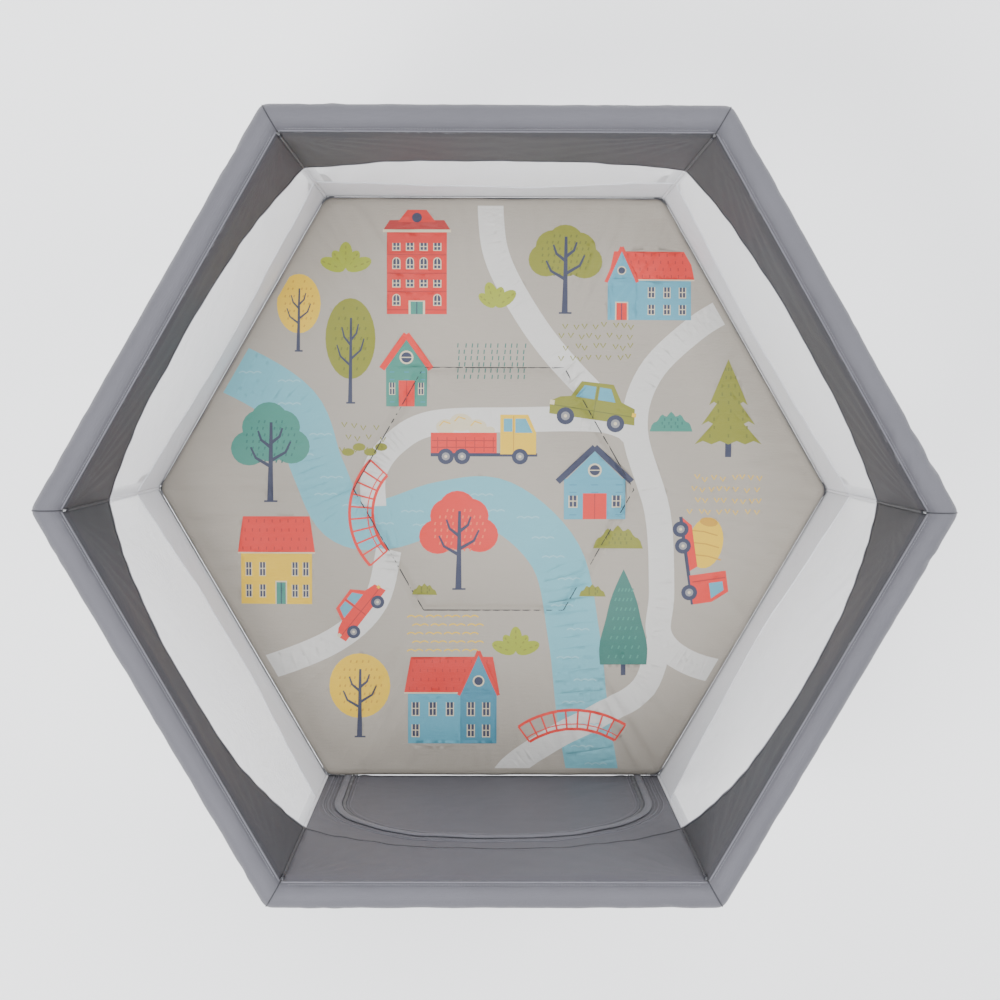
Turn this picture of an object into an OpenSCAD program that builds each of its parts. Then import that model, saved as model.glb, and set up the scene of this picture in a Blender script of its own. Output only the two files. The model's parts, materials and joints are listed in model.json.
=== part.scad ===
// Six-sided folding playpen: corner posts, fold-down top rails, a floor hub
// with six arms, a sewn fabric enclosure with a zipped door, and a padded mat.
// The floor is z = 0, the centre of the playpen is x = y = 0, and the door is
// on the -Y side. Posts, arms and sides are numbered from the door's left post.

/* [Frame] */
// Distance from the centre to each corner post's axis, which is also a side's length
frame_r = 600; // [480:5:760]
// Height of the top rails' axis
rail_z = 668; // [540:1:820]
// Height of the floor arms' axis
arm_z = 20; // [18:0.5:24]
// Diameter of a post tube
post_d = 22; // [18:0.5:27]
// Diameter of a rail or arm tube
tube_d = 16; // [13:0.2:20]
// Wall of every tube
tube_wall = 1.2; // [0.8:0.1:2]

/* [Fold] */
// Distance from a post's axis to a rail's pivot
rail_pivot = 30; // [25:1:40]
// Half the distance between the two pivots of a mid-rail lock
lock_pivot = 18; // [15:0.5:25]
// Distance from a post's axis to its arm's pivot
arm_pivot = 25; // [23:0.5:30]
// Diameter of the rivets that the joints turn on
rivet_d = 6; // [5:0.1:8]
// Radial clearance of an eye on its rivet
run_fit = 0.08; // [0.03:0.01:0.1]
// Radial clearance of a rivet, post or screw in its casting
set_fit = 0.04; // [0.02:0.01:0.1]
// Thickness of the flat eye at a link's end
eye_t = 9; // [7:0.2:11]
// Gap between an eye and each cheek of its fork
side_gap = 0.3; // [0.2:0.05:0.6]
// Thickness of a fork's cheek
cheek_t = 6; // [4:0.2:7.2]
// Distance from a link's pivot to the end of its round tube
eye_len = 14; // [12:0.5:18]

/* [Castings] */
// Wall of the sockets that hold a post
socket_wall = 2.5; // [2:0.1:3]
// Depth of the head's socket below the rails' axis
head_drop = 30; // [20:1:45]
// Height of the foot's socket
foot_h = 38; // [32:0.5:40]
// Radius of the foot's base plate
foot_r = 22; // [18:0.5:27]
// Thickness of the foot's base plate
foot_plate = 6; // [4:0.2:7.2]

/* [Hub] */
// Thickness of the hub's cover
cover_t = 9; // [6:0.2:9.4]
// Radius of the release knob's stem
stem_r = 8; // [6:0.2:10]
// Radius of the release knob's flange
flange_r = 16; // [13:0.5:20]
// Radius of the opening in the floor sheet over the hub
access_r = 62; // [50:1:75]
// Width of the pull strap
strap_w = 24; // [18:1:30]
// Thickness of the pull strap
strap_t = 1.3; // [1:0.1:1.6]
// Reach of the pull strap from the hub's axis
strap_reach = 54; // [40:1:58]

/* [Fabric] */
// Outside radius of the padded rail cover
cover_r = 19; // [18:0.5:24]
// Length of the rail cover's outer skirt below the rail's axis
skirt = 20; // [14:1:30]
// Thickness of the fabric walls and rail covers
cloth_t = 2; // [1.5:0.1:2.4]
// Height of the fabric floor's underside
floor_z = 42; // [41:0.5:50]
// Thickness of the fabric floor
floor_t = 1.5; // [1:0.1:1.8]
// Thickness of the padded mat
mat_t = 28; // [20:1:40]
// Gap between the mat's edge and the walls
mat_gap = 7; // [4:0.5:12]
// How far the mat's corners are rounded back
mat_round = 13; // [8:0.5:20]
// Clearance between separate soft pieces
soft_gap = 0.8; // [0.5:0.1:1.5]

/* [Door] */
// Distance along the front from a post's axis to the door's edge
door_margin = 52; // [40:1:90]
// Distance from the rails' axis down to the top of the door
door_drop = 211; // [180:1:280]
// Radius of the door's upper corners
door_corner = 220; // [120:1:240]
// Width of the zip's teeth, which fill the gap round the door
zip_w = 6; // [4:0.2:8]
// Height of the slider above the door's lower edge when the zip is shut
slider_up = 26; // [20:1:40]

/* [Hidden] */
$fn = 64;

// Equal angles at every joint need the arm to be twice a half rail, so the
// hub's pivots lie on the circle that leaves exactly that length.
half_rail = frame_r / 2 - rail_pivot - lock_pivot;
arm_len = 2 * half_rail;
hub_pivot = frame_r - arm_pivot - arm_len;

eye_r = tube_d / 2;
plug_len = 12;
head_top = 6;
cheek_in = eye_t / 2 + side_gap;
cheek_out = cheek_in + cheek_t;
cheek_r = eye_r + 1.5;
socket_r = post_d / 2 + socket_wall;
head_cap = sqrt(pow(cover_r - cloth_t - soft_gap, 2) - pow(socket_r, 2)) - head_top;
hub_r = hub_pivot - eye_r - 5;
hub_top = arm_z + eye_r + 2;
cover_edge = hub_pivot + cheek_r + 4;
cover_top = hub_top + soft_gap + cover_t;
screw_ring = hub_r - 12;

// In a side's own frame X points out, Y runs along the side and Z is up.
side_out = frame_r * cos(30);
wall_out = -cover_r - 1;
wall_in = wall_out - cloth_t;
room_r = (side_out + wall_in) / cos(30);
mat_z = floor_z + floor_t + soft_gap;
door_z = floor_z + 3;
door_half = frame_r / 2 - door_margin;
door_r = min(door_corner, door_half - 10);
door_top = rail_z - door_drop;

function post_angle(i) = 240 + 60 * (i - 1);
function side_angle(i) = post_angle(i) + 30;

module at_post(i) rotate([0, 0, post_angle(i)]) translate([frame_r, 0, 0]) children();
module at_side(i) rotate([0, 0, side_angle(i)]) translate([side_out, 0, 0]) children();
module at_arm(i) rotate([0, 0, post_angle(i)]) translate([hub_pivot, 0, arm_z]) children();

// A bar along Y, for pins and the bores that they turn in
module cross_bar(r, len) rotate([90, 0, 0]) cylinder(r = r, h = len, center = true);

// A tube along +X from one pivot to the next, with a flat eye at each end
module link(len) {
    difference() {
        union() {
            translate([eye_len, 0, 0]) rotate([0, 90, 0])
                cylinder(r = eye_r, h = len - 2 * eye_len);
            for (end = [0, 1]) translate([end * len, 0, 0]) mirror([end, 0, 0]) {
                cross_bar(eye_r, eye_t);
                translate([0, -eye_t / 2, -eye_r * 0.75]) cube([eye_len + 1, eye_t, eye_r * 1.5]);
            }
        }
        translate([eye_len + plug_len, 0, 0]) rotate([0, 90, 0])
            cylinder(r = eye_r - tube_wall, h = len - 2 * (eye_len + plug_len));
        for (x = [0, len]) translate([x, 0, 0]) cross_bar(rivet_d / 2 + run_fit, eye_t + 2);
    }
}

// Two cheeks round a pivot at the origin that run back to -X, less the rivet's bore
module fork(back) {
    difference() {
        for (side = [0, 1]) mirror([0, side, 0]) translate([0, cheek_in, 0]) {
            rotate([-90, 0, 0]) cylinder(r = cheek_r, h = cheek_t);
            translate([-back, 0, -cheek_r]) cube([back, cheek_t, 2 * cheek_r]);
        }
        cross_bar(rivet_d / 2 + set_fit, 3 * cheek_out);
    }
}

// A rivet with a low head on each side of the cheeks
module rivet() {
    cross_bar(rivet_d / 2, 2 * cheek_out + 0.4);
    for (side = [0, 1]) mirror([0, side, 0]) translate([0, cheek_out + 0.1, 0])
        rotate([-90, 0, 0]) cylinder(r = rivet_d / 2 + 2, h = 1.4);
}

module post(i) color("silver") at_post(i) translate([0, 0, foot_plate + 0.1]) difference() {
    cylinder(d = post_d, h = rail_z + head_top - foot_plate - 0.2);
    translate([0, 0, -1]) cylinder(r = post_d / 2 - tube_wall, h = rail_z + head_top);
}

// The casting on a post's top, with a fork towards each neighbouring post
module head(i) color("dimgray") at_post(i) {
    difference() {
        union() {
            translate([0, 0, rail_z - head_drop])
                cylinder(r = socket_r, h = head_drop + head_top + head_cap);
            for (turn = [-120, 120]) rotate([0, 0, turn])
                translate([rail_pivot, 0, rail_z]) fork(rail_pivot - socket_r + 4);
        }
        translate([0, 0, rail_z - head_drop - 1])
            cylinder(r = post_d / 2 + set_fit, h = head_drop + head_top + 1);
    }
    for (turn = [-120, 120]) rotate([0, 0, turn]) translate([rail_pivot, 0, rail_z]) rivet();
}

// The casting under a post, with a fork towards the hub
module foot(i) color("dimgray") at_post(i) {
    difference() {
        union() {
            cylinder(r = foot_r, h = foot_plate);
            cylinder(r = socket_r, h = foot_h);
            translate([-arm_pivot - cheek_r, -cheek_out, 0])
                cube([arm_pivot + cheek_r, 2 * cheek_out, foot_plate]);
            translate([-arm_pivot, 0, arm_z]) mirror([1, 0, 0]) fork(arm_pivot - socket_r + 4);
            for (side = [0, 1]) mirror([0, side, 0])
                translate([-arm_pivot - cheek_r + 2, cheek_in, foot_plate - 1])
                    cube([cheek_r * 1.6, cheek_t, arm_z - foot_plate - cheek_r + 3]);
        }
        translate([0, 0, foot_plate]) cylinder(r = post_d / 2 + set_fit, h = foot_h);
    }
    translate([-arm_pivot, 0, arm_z]) rivet();
}

module arm(i) color("silver") at_arm(i) link(arm_len);

module rail_left(i) color("silver") at_side(i)
    translate([0, -frame_r / 2 + rail_pivot, rail_z]) rotate([0, 0, 90]) link(half_rail);

module rail_right(i) color("silver") at_side(i)
    translate([0, lock_pivot, rail_z]) rotate([0, 0, 90]) link(half_rail);

// The knuckle in the middle of a rail, with a fork each way and a squeeze button below
module lock(i) color("dimgray") at_side(i) translate([0, 0, rail_z]) rotate([0, 0, 90]) {
    for (end = [0, 1]) mirror([end, 0, 0]) translate([lock_pivot, 0, 0]) {
        fork(lock_pivot);
        rivet();
    }
    translate([-lock_pivot + eye_r + 2, -cheek_out, -cheek_r])
        cube([2 * (lock_pivot - eye_r - 2), 2 * cheek_out, 2 * cheek_r]);
    translate([0, 0, -cheek_r - 3]) cylinder(r = lock_pivot - eye_r - 3, h = 4);
}

// A side's cross-section: the padded cover over the rail, open below, and the wall
module side_section() {
    difference() {
        union() {
            translate([0, rail_z]) circle(r = cover_r);
            translate([-cover_r - 1, rail_z - cloth_t]) square([cover_r, cover_r * 0.5]);
        }
        translate([0, rail_z]) circle(r = cover_r - cloth_t);
        translate([-2 * cover_r, rail_z - 3 * cover_r - cloth_t]) square([4 * cover_r, 3 * cover_r]);
    }
    translate([cover_r - cloth_t, rail_z - skirt]) square([cloth_t, skirt]);
    translate([wall_in, floor_z]) square([cloth_t, rail_z - floor_z + cover_r * 0.3]);
}

// The wedge between two posts, so that neighbouring sides meet on a mitre
module side_wedge() {
    far = side_out + 2 * cover_r;
    half = (far - 2 * soft_gap) * tan(30);
    linear_extrude(rail_z + 2 * cover_r)
        polygon([[2 * soft_gap - side_out, 0], [far - side_out, half], [far - side_out, -half]]);
}

// The door's outline, grown by the given amount, with Y up
module door_outline(grow) {
    w = door_half + grow;
    r = door_r + grow;
    top = door_top + grow;
    low = door_z - max(grow, 0);
    translate([-w, low]) square([2 * w, top - r - low]);
    translate([-w + r, low]) square([2 * (w - r), top - low]);
    for (x = [-1, 1]) translate([x * (w - r), top - r]) circle(r = r);
}

module side(i) color(i == 1 ? "dimgray" : "gainsboro") at_side(i) difference() {
    intersection() {
        rotate([90, 0, 0]) linear_extrude(frame_r + 4 * cover_r, center = true) side_section();
        side_wedge();
    }
    if (i == 1) rotate([90, 0, 90]) translate([0, 0, wall_in - 5])
        linear_extrude(cloth_t + 10) door_outline(zip_w / 2);
}

module door_flap() color("slategray") at_side(1)
    rotate([90, 0, 90]) translate([0, 0, wall_in + 0.2])
        linear_extrude(cloth_t - 0.4) door_outline(-zip_w / 2);

// The slider's body outside the wall, the tongue in the gap and the hanging pull
module zip_slider() color("gray")
    at_side(1) translate([wall_out, -door_half, door_z + slider_up]) {
        translate([0.6, -5, -8]) cube([4, 10, 16]);
        translate([-cloth_t, -zip_w / 2 + 1, -5]) cube([cloth_t + 1.6, zip_w - 2, 10]);
        translate([5, -4, -20]) cube([1.6, 8, 24]);
    }

// The hub's body, closed below, with a fork for each arm and a well for the knob
module hub_shell() color("dimgray") difference() {
    union() {
        cylinder(r = hub_r, h = hub_top);
        for (i = [1:6]) at_arm(i) fork(hub_pivot - hub_r + 4);
    }
    translate([0, 0, 4]) cylinder(r = stem_r + 0.5, h = hub_top);
    for (turn = [0:120:240]) rotate([0, 0, turn + 30]) translate([screw_ring, 0, hub_top - 12])
        cylinder(r = 2 + set_fit, h = 13);
}

module hub_rivets() color("silver") for (i = [1:6]) at_arm(i) rivet();

module hub_cover() color("gray") difference() {
    translate([0, 0, hub_top + 0.1]) cylinder(r = cover_edge, h = cover_top - hub_top - 0.1);
    cylinder(r = flange_r + 0.5, h = 2 * cover_top);
    for (turn = [0:120:240]) rotate([0, 0, turn + 30]) translate([screw_ring, 0, 0]) {
        cylinder(r = 2 + set_fit, h = 2 * cover_top);
        translate([0, 0, cover_top - 3]) cylinder(r = 4 + set_fit, h = 4);
    }
}

module hub_screws() color("silver") for (turn = [0:120:240])
    rotate([0, 0, turn + 30]) translate([screw_ring, 0, 0]) {
        translate([0, 0, hub_top - 11]) cylinder(r = 2, h = cover_top - hub_top + 10);
        translate([0, 0, cover_top - 2.9]) cylinder(r = 4, h = 2.6);
    }

// The sprung knob that frees the arms: a stem in the hub, a flange and a neck for the strap
module release_knob() color("indianred") {
    translate([0, 0, 8]) cylinder(r = stem_r, h = cover_top - 8 - 0.2);
    translate([0, 0, hub_top + 2]) cylinder(r = flange_r, h = cover_top - hub_top - 2.2);
    neck_z = cover_top - 0.2;
    translate([0, 0, neck_z]) cylinder(r = 4.5, h = strap_t + 1);
    translate([0, 0, neck_z + strap_t + 0.6]) cylinder(r = 8, h = 1.2);
}

module pull_strap() color("dimgray") translate([0, 0, cover_top + 0.1]) difference() {
    union() {
        cylinder(d = strap_w, h = strap_t);
        translate([0, -strap_w / 2, 0]) cube([strap_reach - strap_w / 2, strap_w, strap_t]);
        translate([strap_reach - strap_w / 2, 0, 0]) cylinder(d = strap_w, h = strap_t);
    }
    translate([0, 0, -1]) cylinder(r = 4.5 + set_fit, h = strap_t + 2);
    translate([strap_reach - strap_w / 2, 0, -1]) cylinder(r = strap_w / 4, h = strap_t + 2);
}

module floor_sheet() color("dimgray") translate([0, 0, floor_z]) linear_extrude(floor_t)
    difference() {
        circle(r = room_r - soft_gap / cos(30), $fn = 6);
        circle(r = access_r);
    }

module mat() color("tan") translate([0, 0, mat_z]) linear_extrude(mat_t)
    intersection() {
        circle(r = room_r - mat_gap / cos(30), $fn = 6);
        circle(r = room_r - mat_gap / cos(30) - mat_round);
    }

for (i = [1:6]) {
    post(i);
    head(i);
    foot(i);
    arm(i);
    rail_left(i);
    rail_right(i);
    lock(i);
    side(i);
}
hub_shell();
hub_rivets();
hub_cover();
hub_screws();
release_knob();
pull_strap();
floor_sheet();
mat();
door_flap();
zip_slider();
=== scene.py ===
import json
import math
import random

import bmesh
import bpy
import numpy as np
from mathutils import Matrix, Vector, geometry, noise
from mathutils.bvhtree import BVHTree

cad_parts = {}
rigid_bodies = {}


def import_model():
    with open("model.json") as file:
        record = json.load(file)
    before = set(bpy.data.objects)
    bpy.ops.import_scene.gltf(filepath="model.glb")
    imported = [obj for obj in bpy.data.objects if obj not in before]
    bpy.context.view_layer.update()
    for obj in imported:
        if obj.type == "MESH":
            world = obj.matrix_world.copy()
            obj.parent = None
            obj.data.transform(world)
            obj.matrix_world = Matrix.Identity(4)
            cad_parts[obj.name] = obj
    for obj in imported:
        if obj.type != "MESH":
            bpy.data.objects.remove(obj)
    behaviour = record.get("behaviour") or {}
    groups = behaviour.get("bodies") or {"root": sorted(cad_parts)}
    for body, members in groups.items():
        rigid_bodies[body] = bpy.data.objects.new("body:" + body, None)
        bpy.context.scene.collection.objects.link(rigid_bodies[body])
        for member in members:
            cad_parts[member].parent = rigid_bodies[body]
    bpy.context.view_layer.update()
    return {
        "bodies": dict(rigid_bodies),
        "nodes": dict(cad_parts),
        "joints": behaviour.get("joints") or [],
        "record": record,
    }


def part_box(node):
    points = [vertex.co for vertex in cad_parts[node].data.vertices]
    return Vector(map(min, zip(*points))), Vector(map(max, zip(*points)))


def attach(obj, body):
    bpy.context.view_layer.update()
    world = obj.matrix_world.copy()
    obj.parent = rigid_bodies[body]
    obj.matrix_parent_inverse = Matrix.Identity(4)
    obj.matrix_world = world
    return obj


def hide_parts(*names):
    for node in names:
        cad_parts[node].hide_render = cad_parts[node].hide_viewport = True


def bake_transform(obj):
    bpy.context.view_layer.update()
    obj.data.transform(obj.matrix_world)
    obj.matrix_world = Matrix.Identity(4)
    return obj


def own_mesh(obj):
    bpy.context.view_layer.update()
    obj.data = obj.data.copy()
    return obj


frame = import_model()
print("stage: frame loaded")

# what the frame says, in metres
cos30, tan30 = math.cos(math.radians(30)), math.tan(math.radians(30))
postRadius = sum(corner.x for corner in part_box("post_3")) / 2
railZ = sum(corner.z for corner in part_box("rail_left_1")) / 2
sideOut = postRadius * cos30
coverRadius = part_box("side_4")[1].y - sideOut
wallOffset = -sum(corner.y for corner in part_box("door_flap")) / 2 - sideOut
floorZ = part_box("floor_sheet")[1].z
matBottom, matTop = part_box("mat")[0].z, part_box("mat")[1].z
foldJoint = next(j for j in frame["joints"] if j["name"] == "fold")
foldShrink = math.cos(math.radians(foldJoint["range_deg"][1]))
armEyes = 0.016  # the ends of an arm reach past its two pivots
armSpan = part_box("arm_3")[1].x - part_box("arm_3")[0].x - armEyes
foldedRadius = postRadius - armSpan * (1 - foldShrink)
sides = range(1, 7)


def sideAxes(i):  # outward, then along from post i to the next
    turn = math.radians(270 + 60 * (i - 1))
    return Vector((math.cos(turn), math.sin(turn), 0)), Vector((-math.sin(turn), math.cos(turn), 0))


def sidePoint(i, s, n, z):
    out, along = sideAxes(i)
    return out * (sideOut + n) + along * s + Vector((0, 0, z))


def postTurn(i):
    return math.radians(240 + 60 * (i - 1))


def postPoint(i, reach, z):
    turn = postTurn(i)
    return Vector((math.cos(turn) * reach, math.sin(turn) * reach, z))


def fade(value, low, high):  # 0 below low, 1 above high, smooth between
    t = min(max((value - low) / (high - low), 0), 1)
    return t * t * (3 - 2 * t)


def ripple(x, y, z, scale):
    return noise.noise(Vector((x * scale, y * scale, z * scale)))


# materials

def nodeOf(tree, kind, x=0, y=0, **settings):
    node = tree.nodes.new(kind)
    node.location = (x, y)
    for key, value in settings.items():
        setattr(node, key, value)
    return node


def shaderBase(name, rough, colour, metal=0.0):
    material = bpy.data.materials.new(name)
    material.use_nodes = True
    tree = material.node_tree
    shader = tree.nodes["Principled BSDF"]
    shader.inputs["Roughness"].default_value = rough
    shader.inputs["Metallic"].default_value = metal
    shader.inputs["Base Color"].default_value = (*colour, 1)
    return material, tree, shader


def mixColour(tree, factor, first, second):
    mix = nodeOf(tree, "ShaderNodeMix", -300, 200, data_type="RGBA", blend_type="MIX")
    tree.links.new(factor, mix.inputs["Factor"])
    for socket, value in ((mix.inputs["A"], first), (mix.inputs["B"], second)):
        if isinstance(value, tuple):
            socket.default_value = (*value, 1)
        else:
            tree.links.new(value, socket)
    return mix.outputs["Result"]


def scaledNoise(tree, where, scale, detail=3.0, stretch=(1, 1, 1)):
    mapping = nodeOf(tree, "ShaderNodeMapping", -900, 0)
    mapping.inputs["Scale"].default_value = stretch
    tree.links.new(where, mapping.inputs["Vector"])
    texture = nodeOf(tree, "ShaderNodeTexNoise", -700, 0)
    texture.inputs["Scale"].default_value = scale
    texture.inputs["Detail"].default_value = detail
    tree.links.new(mapping.outputs["Vector"], texture.inputs["Vector"])
    return texture.outputs["Fac"]


def threads(tree, where, pitch, across):  # one set of parallel threads, 0 to 1
    wave = nodeOf(tree, "ShaderNodeTexWave", -700, -200 - 200 * (across == "Y"),
                  wave_type="BANDS", bands_direction=across, wave_profile="SIN")
    wave.inputs["Scale"].default_value = math.pi / (10 * pitch)
    wave.inputs["Distortion"].default_value = 0.4
    wave.inputs["Detail Scale"].default_value = 3
    tree.links.new(where, wave.inputs["Vector"])
    return wave.outputs["Fac"]


def mathNode(tree, operation, first, second):
    node = nodeOf(tree, "ShaderNodeMath", -450, -200, operation=operation)
    for socket, value in zip(node.inputs, (first, second)):
        if isinstance(value, (int, float)):
            socket.default_value = value
        else:
            tree.links.new(value, socket)
    return node.outputs[0]


def addBump(tree, shader, height, distance):
    bump = nodeOf(tree, "ShaderNodeBump", -200, -300)
    bump.inputs["Distance"].default_value = distance
    bump.inputs["Strength"].default_value = 1.0
    tree.links.new(height, bump.inputs["Height"])
    tree.links.new(bump.outputs["Normal"], shader.inputs["Normal"])


weaveDepth = 0.0006


def wovenCloth(name, colour, rough=0.55, pitch=0.0006, sheen=0.25, mottle=0.10, coordinates="UV"):
    material, tree, shader = shaderBase(name, rough, colour)
    shader.inputs["Sheen Weight"].default_value = sheen
    shader.inputs["Sheen Roughness"].default_value = 0.4
    shader.inputs["Specular IOR Level"].default_value = 0.28
    place = nodeOf(tree, "ShaderNodeTexCoord", -1200, 0).outputs[coordinates]
    warp = threads(tree, place, pitch, "X")
    weft = threads(tree, place, pitch, "Y")
    weave = mathNode(tree, "MULTIPLY", warp, weft)
    clouds = scaledNoise(tree, place, 9, 4)
    slubs = scaledNoise(tree, place, 60, 2, (1, 9, 1))
    dark = tuple(c * (1 - mottle) for c in colour)
    light = tuple(min(c * (1 + mottle), 1) for c in colour)
    shade = mixColour(tree, clouds, dark, light)
    shade = mixColour(tree, mathNode(tree, "MULTIPLY", weave, 0.35), shade, tuple(c * 0.72 for c in colour))
    tree.links.new(shade, shader.inputs["Base Color"])
    height = mathNode(tree, "ADD", mathNode(tree, "MULTIPLY", weave, 0.3), slubs)
    addBump(tree, shader, height, weaveDepth)
    return material


def netCloth(name, colour, pitch, openness):
    material, tree, shader = shaderBase(name, 0.6, colour)
    shader.inputs["Sheen Weight"].default_value = 0.2
    place = nodeOf(tree, "ShaderNodeTexCoord", -1200, 0).outputs["UV"]
    across = threads(tree, place, pitch, "X")
    down = threads(tree, place, pitch, "Y")
    holes = mathNode(tree, "MULTIPLY", across, down)
    cover = mathNode(tree, "SUBTRACT", 1.0, mathNode(tree, "MULTIPLY", holes, 2 * openness))
    haze = scaledNoise(tree, place, 7, 3)
    cover = mathNode(tree, "ADD", cover, mathNode(tree, "MULTIPLY", mathNode(tree, "SUBTRACT", haze, 0.5), 0.2))
    tree.links.new(cover, shader.inputs["Alpha"])
    addBump(tree, shader, holes, 0.0003)
    material.surface_render_method = "DITHERED"
    return material


def mouldedPlastic(name, colour, rough, grain=0.00012):
    material, tree, shader = shaderBase(name, rough, colour)
    place = nodeOf(tree, "ShaderNodeTexCoord", -1200, 0).outputs["Object"]
    fine = scaledNoise(tree, place, 900, 2)
    broad = scaledNoise(tree, place, 14, 4)
    shade = mixColour(tree, broad, tuple(c * 0.88 for c in colour), tuple(min(c * 1.1, 1) for c in colour))
    tree.links.new(shade, shader.inputs["Base Color"])
    rubbed = nodeOf(tree, "ShaderNodeMapRange", -300, 0)
    rubbed.inputs["To Min"].default_value = rough - 0.08
    rubbed.inputs["To Max"].default_value = rough + 0.08
    tree.links.new(broad, rubbed.inputs["Value"])
    tree.links.new(rubbed.outputs["Result"], shader.inputs["Roughness"])
    addBump(tree, shader, fine, grain)
    return material


def drawnMetal(name, colour, rough, stretch=(1, 1, 0.04)):
    material, tree, shader = shaderBase(name, rough, colour, 1.0)
    place = nodeOf(tree, "ShaderNodeTexCoord", -1200, 0).outputs["Object"]
    lines = scaledNoise(tree, place, 700, 3, stretch)
    broad = scaledNoise(tree, place, 12, 3)
    shade = mixColour(tree, broad, tuple(c * 0.9 for c in colour), tuple(min(c * 1.05, 1) for c in colour))
    tree.links.new(shade, shader.inputs["Base Color"])
    rubbed = nodeOf(tree, "ShaderNodeMapRange", -300, 0)
    rubbed.inputs["To Min"].default_value = rough - 0.06
    rubbed.inputs["To Max"].default_value = rough + 0.1
    tree.links.new(lines, rubbed.inputs["Value"])
    tree.links.new(rubbed.outputs["Result"], shader.inputs["Roughness"])
    addBump(tree, shader, lines, 0.00005)
    return material


def plainFinish(name, colour, rough):
    material, tree, shader = shaderBase(name, rough, colour)
    place = nodeOf(tree, "ShaderNodeTexCoord", -1200, 0).outputs["Object"]
    clouds = scaledNoise(tree, place, 1.5, 3)
    shade = mixColour(tree, clouds, tuple(c * 0.985 for c in colour), colour)
    tree.links.new(shade, shader.inputs["Base Color"])
    return material


coverCloth = wovenCloth("coverCloth", (0.100, 0.099, 0.114), 0.46, sheen=0.10)
# painted shade: a darker cloth for the shaded outer lower edge of the rail covers, laid on a raised piping
edgeShadeCloth = wovenCloth("edgeShadeCloth", (0.045, 0.045, 0.05), 0.5, sheen=0.2)
bandCloth = wovenCloth("bandCloth", (0.043, 0.042, 0.049), 0.52, sheen=0.06)
panelCloth = wovenCloth("panelCloth", (0.096, 0.094, 0.111), 0.50, sheen=0.08)
seamCloth = wovenCloth("seamCloth", (0.03, 0.03, 0.036), 0.6, sheen=0.2, coordinates="Object")
pipingCloth = wovenCloth("pipingCloth", (0.135, 0.134, 0.154), 0.5, sheen=0.1, coordinates="Object")
netting = netCloth("netting", (0.86, 0.86, 0.87), 0.0016, 0.66)
hemCloth = wovenCloth("hemCloth", (0.80, 0.80, 0.83), 0.5, sheen=0.2, mottle=0.05)
whiteBinding = wovenCloth("whiteBinding", (0.74, 0.74, 0.77), 0.55, coordinates="Object")
floorCloth = wovenCloth("floorCloth", (0.21, 0.21, 0.225), 0.6, pitch=0.0009)
greyThread = wovenCloth("greyThread", (0.30, 0.30, 0.33), 0.5, pitch=0.0003, coordinates="Object")
zipTape = wovenCloth("zipTape", (0.050, 0.050, 0.058), 0.6, pitch=0.0008)
zipNylon = mouldedPlastic("zipNylon", (0.020, 0.020, 0.024), 0.35)
sliderMetal = drawnMetal("sliderMetal", (0.28, 0.28, 0.30), 0.34)
tubeMetal = drawnMetal("tubeMetal", (0.62, 0.63, 0.65), 0.32)
castPlastic = mouldedPlastic("castPlastic", (0.115, 0.115, 0.128), 0.46)
hubPlastic = mouldedPlastic("hubPlastic", (0.045, 0.045, 0.05), 0.5)
knobPlastic = mouldedPlastic("knobPlastic", (0.55, 0.055, 0.045), 0.34)
rivetMetal = drawnMetal("rivetMetal", (0.52, 0.52, 0.54), 0.28, (1, 1, 1))
webbing = wovenCloth("webbing", (0.035, 0.035, 0.04), 0.6, pitch=0.0012, coordinates="Object")
print("stage: materials")

nodeFinish = {"post": tubeMetal, "arm": tubeMetal, "rail": tubeMetal, "head": castPlastic,
              "foot": castPlastic, "lock": castPlastic, "hub_shell": hubPlastic, "hub_cover": castPlastic,
              "hub_rivets": rivetMetal, "hub_screws": rivetMetal, "release": knobPlastic, "pull": webbing,
              "zip": sliderMetal}
for nodeName, node in frame["nodes"].items():
    for start, finish in nodeFinish.items():
        if nodeName.startswith(start):
            node.data.materials.clear()
            node.data.materials.append(finish)


# meshes

def newPiece(name, points, faces, materials, flat=False, normals=None, uv=None, faceMaterial=None):
    mesh = bpy.data.meshes.new(name)
    mesh.from_pydata([tuple(p) for p in points], [], faces)
    for material in materials:
        mesh.materials.append(material)
    if faceMaterial is not None:
        mesh.polygons.foreach_set("material_index", faceMaterial)
    if not flat:
        mesh.shade_smooth()
    if uv is not None:
        layer = mesh.uv_layers.new(name="cloth")
        loops = np.zeros(len(mesh.loops), int)
        mesh.loops.foreach_get("vertex_index", loops)
        layer.data.foreach_set("uv", np.array(uv, float)[loops].astype(np.float32).ravel())
    mesh.update()
    piece = bpy.data.objects.new(name, mesh)
    bpy.context.scene.collection.objects.link(piece)
    if normals is not None:
        mesh.normals_split_custom_set_from_vertices(normals)
    return piece


def gridFaces(rows, columns, closed=False):  # rows run along, columns round or down
    faces = []
    for a in range(rows - 1):
        for b in range(columns if closed else columns - 1):
            c = (b + 1) % columns
            faces.append((a * columns + b, a * columns + c, (a + 1) * columns + c, (a + 1) * columns + b))
    return faces


def tubeAlong(name, path, radius, material, up, flatten=1.0, around=8):  # up: one, or a list of one a point
    points = []
    for k, p in enumerate(path):
        ahead = (path[min(k + 1, len(path) - 1)] - path[max(k - 1, 0)]).normalized()
        wide = ahead.cross(up[k] if isinstance(up, list) else up).normalized()
        high = wide.cross(ahead).normalized()
        for a in range(around):
            turn = 2 * math.pi * a / around
            points.append(p + wide * radius * math.cos(turn) + high * radius * flatten * math.sin(turn))
    faces = [tuple(reversed(f)) for f in gridFaces(len(path), around, True)]
    faces += [tuple(range(around)), tuple(reversed(range(len(points) - around, len(points))))]
    piece = newPiece(name, points, faces, [material])
    fixNormals(piece)
    return piece


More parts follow.
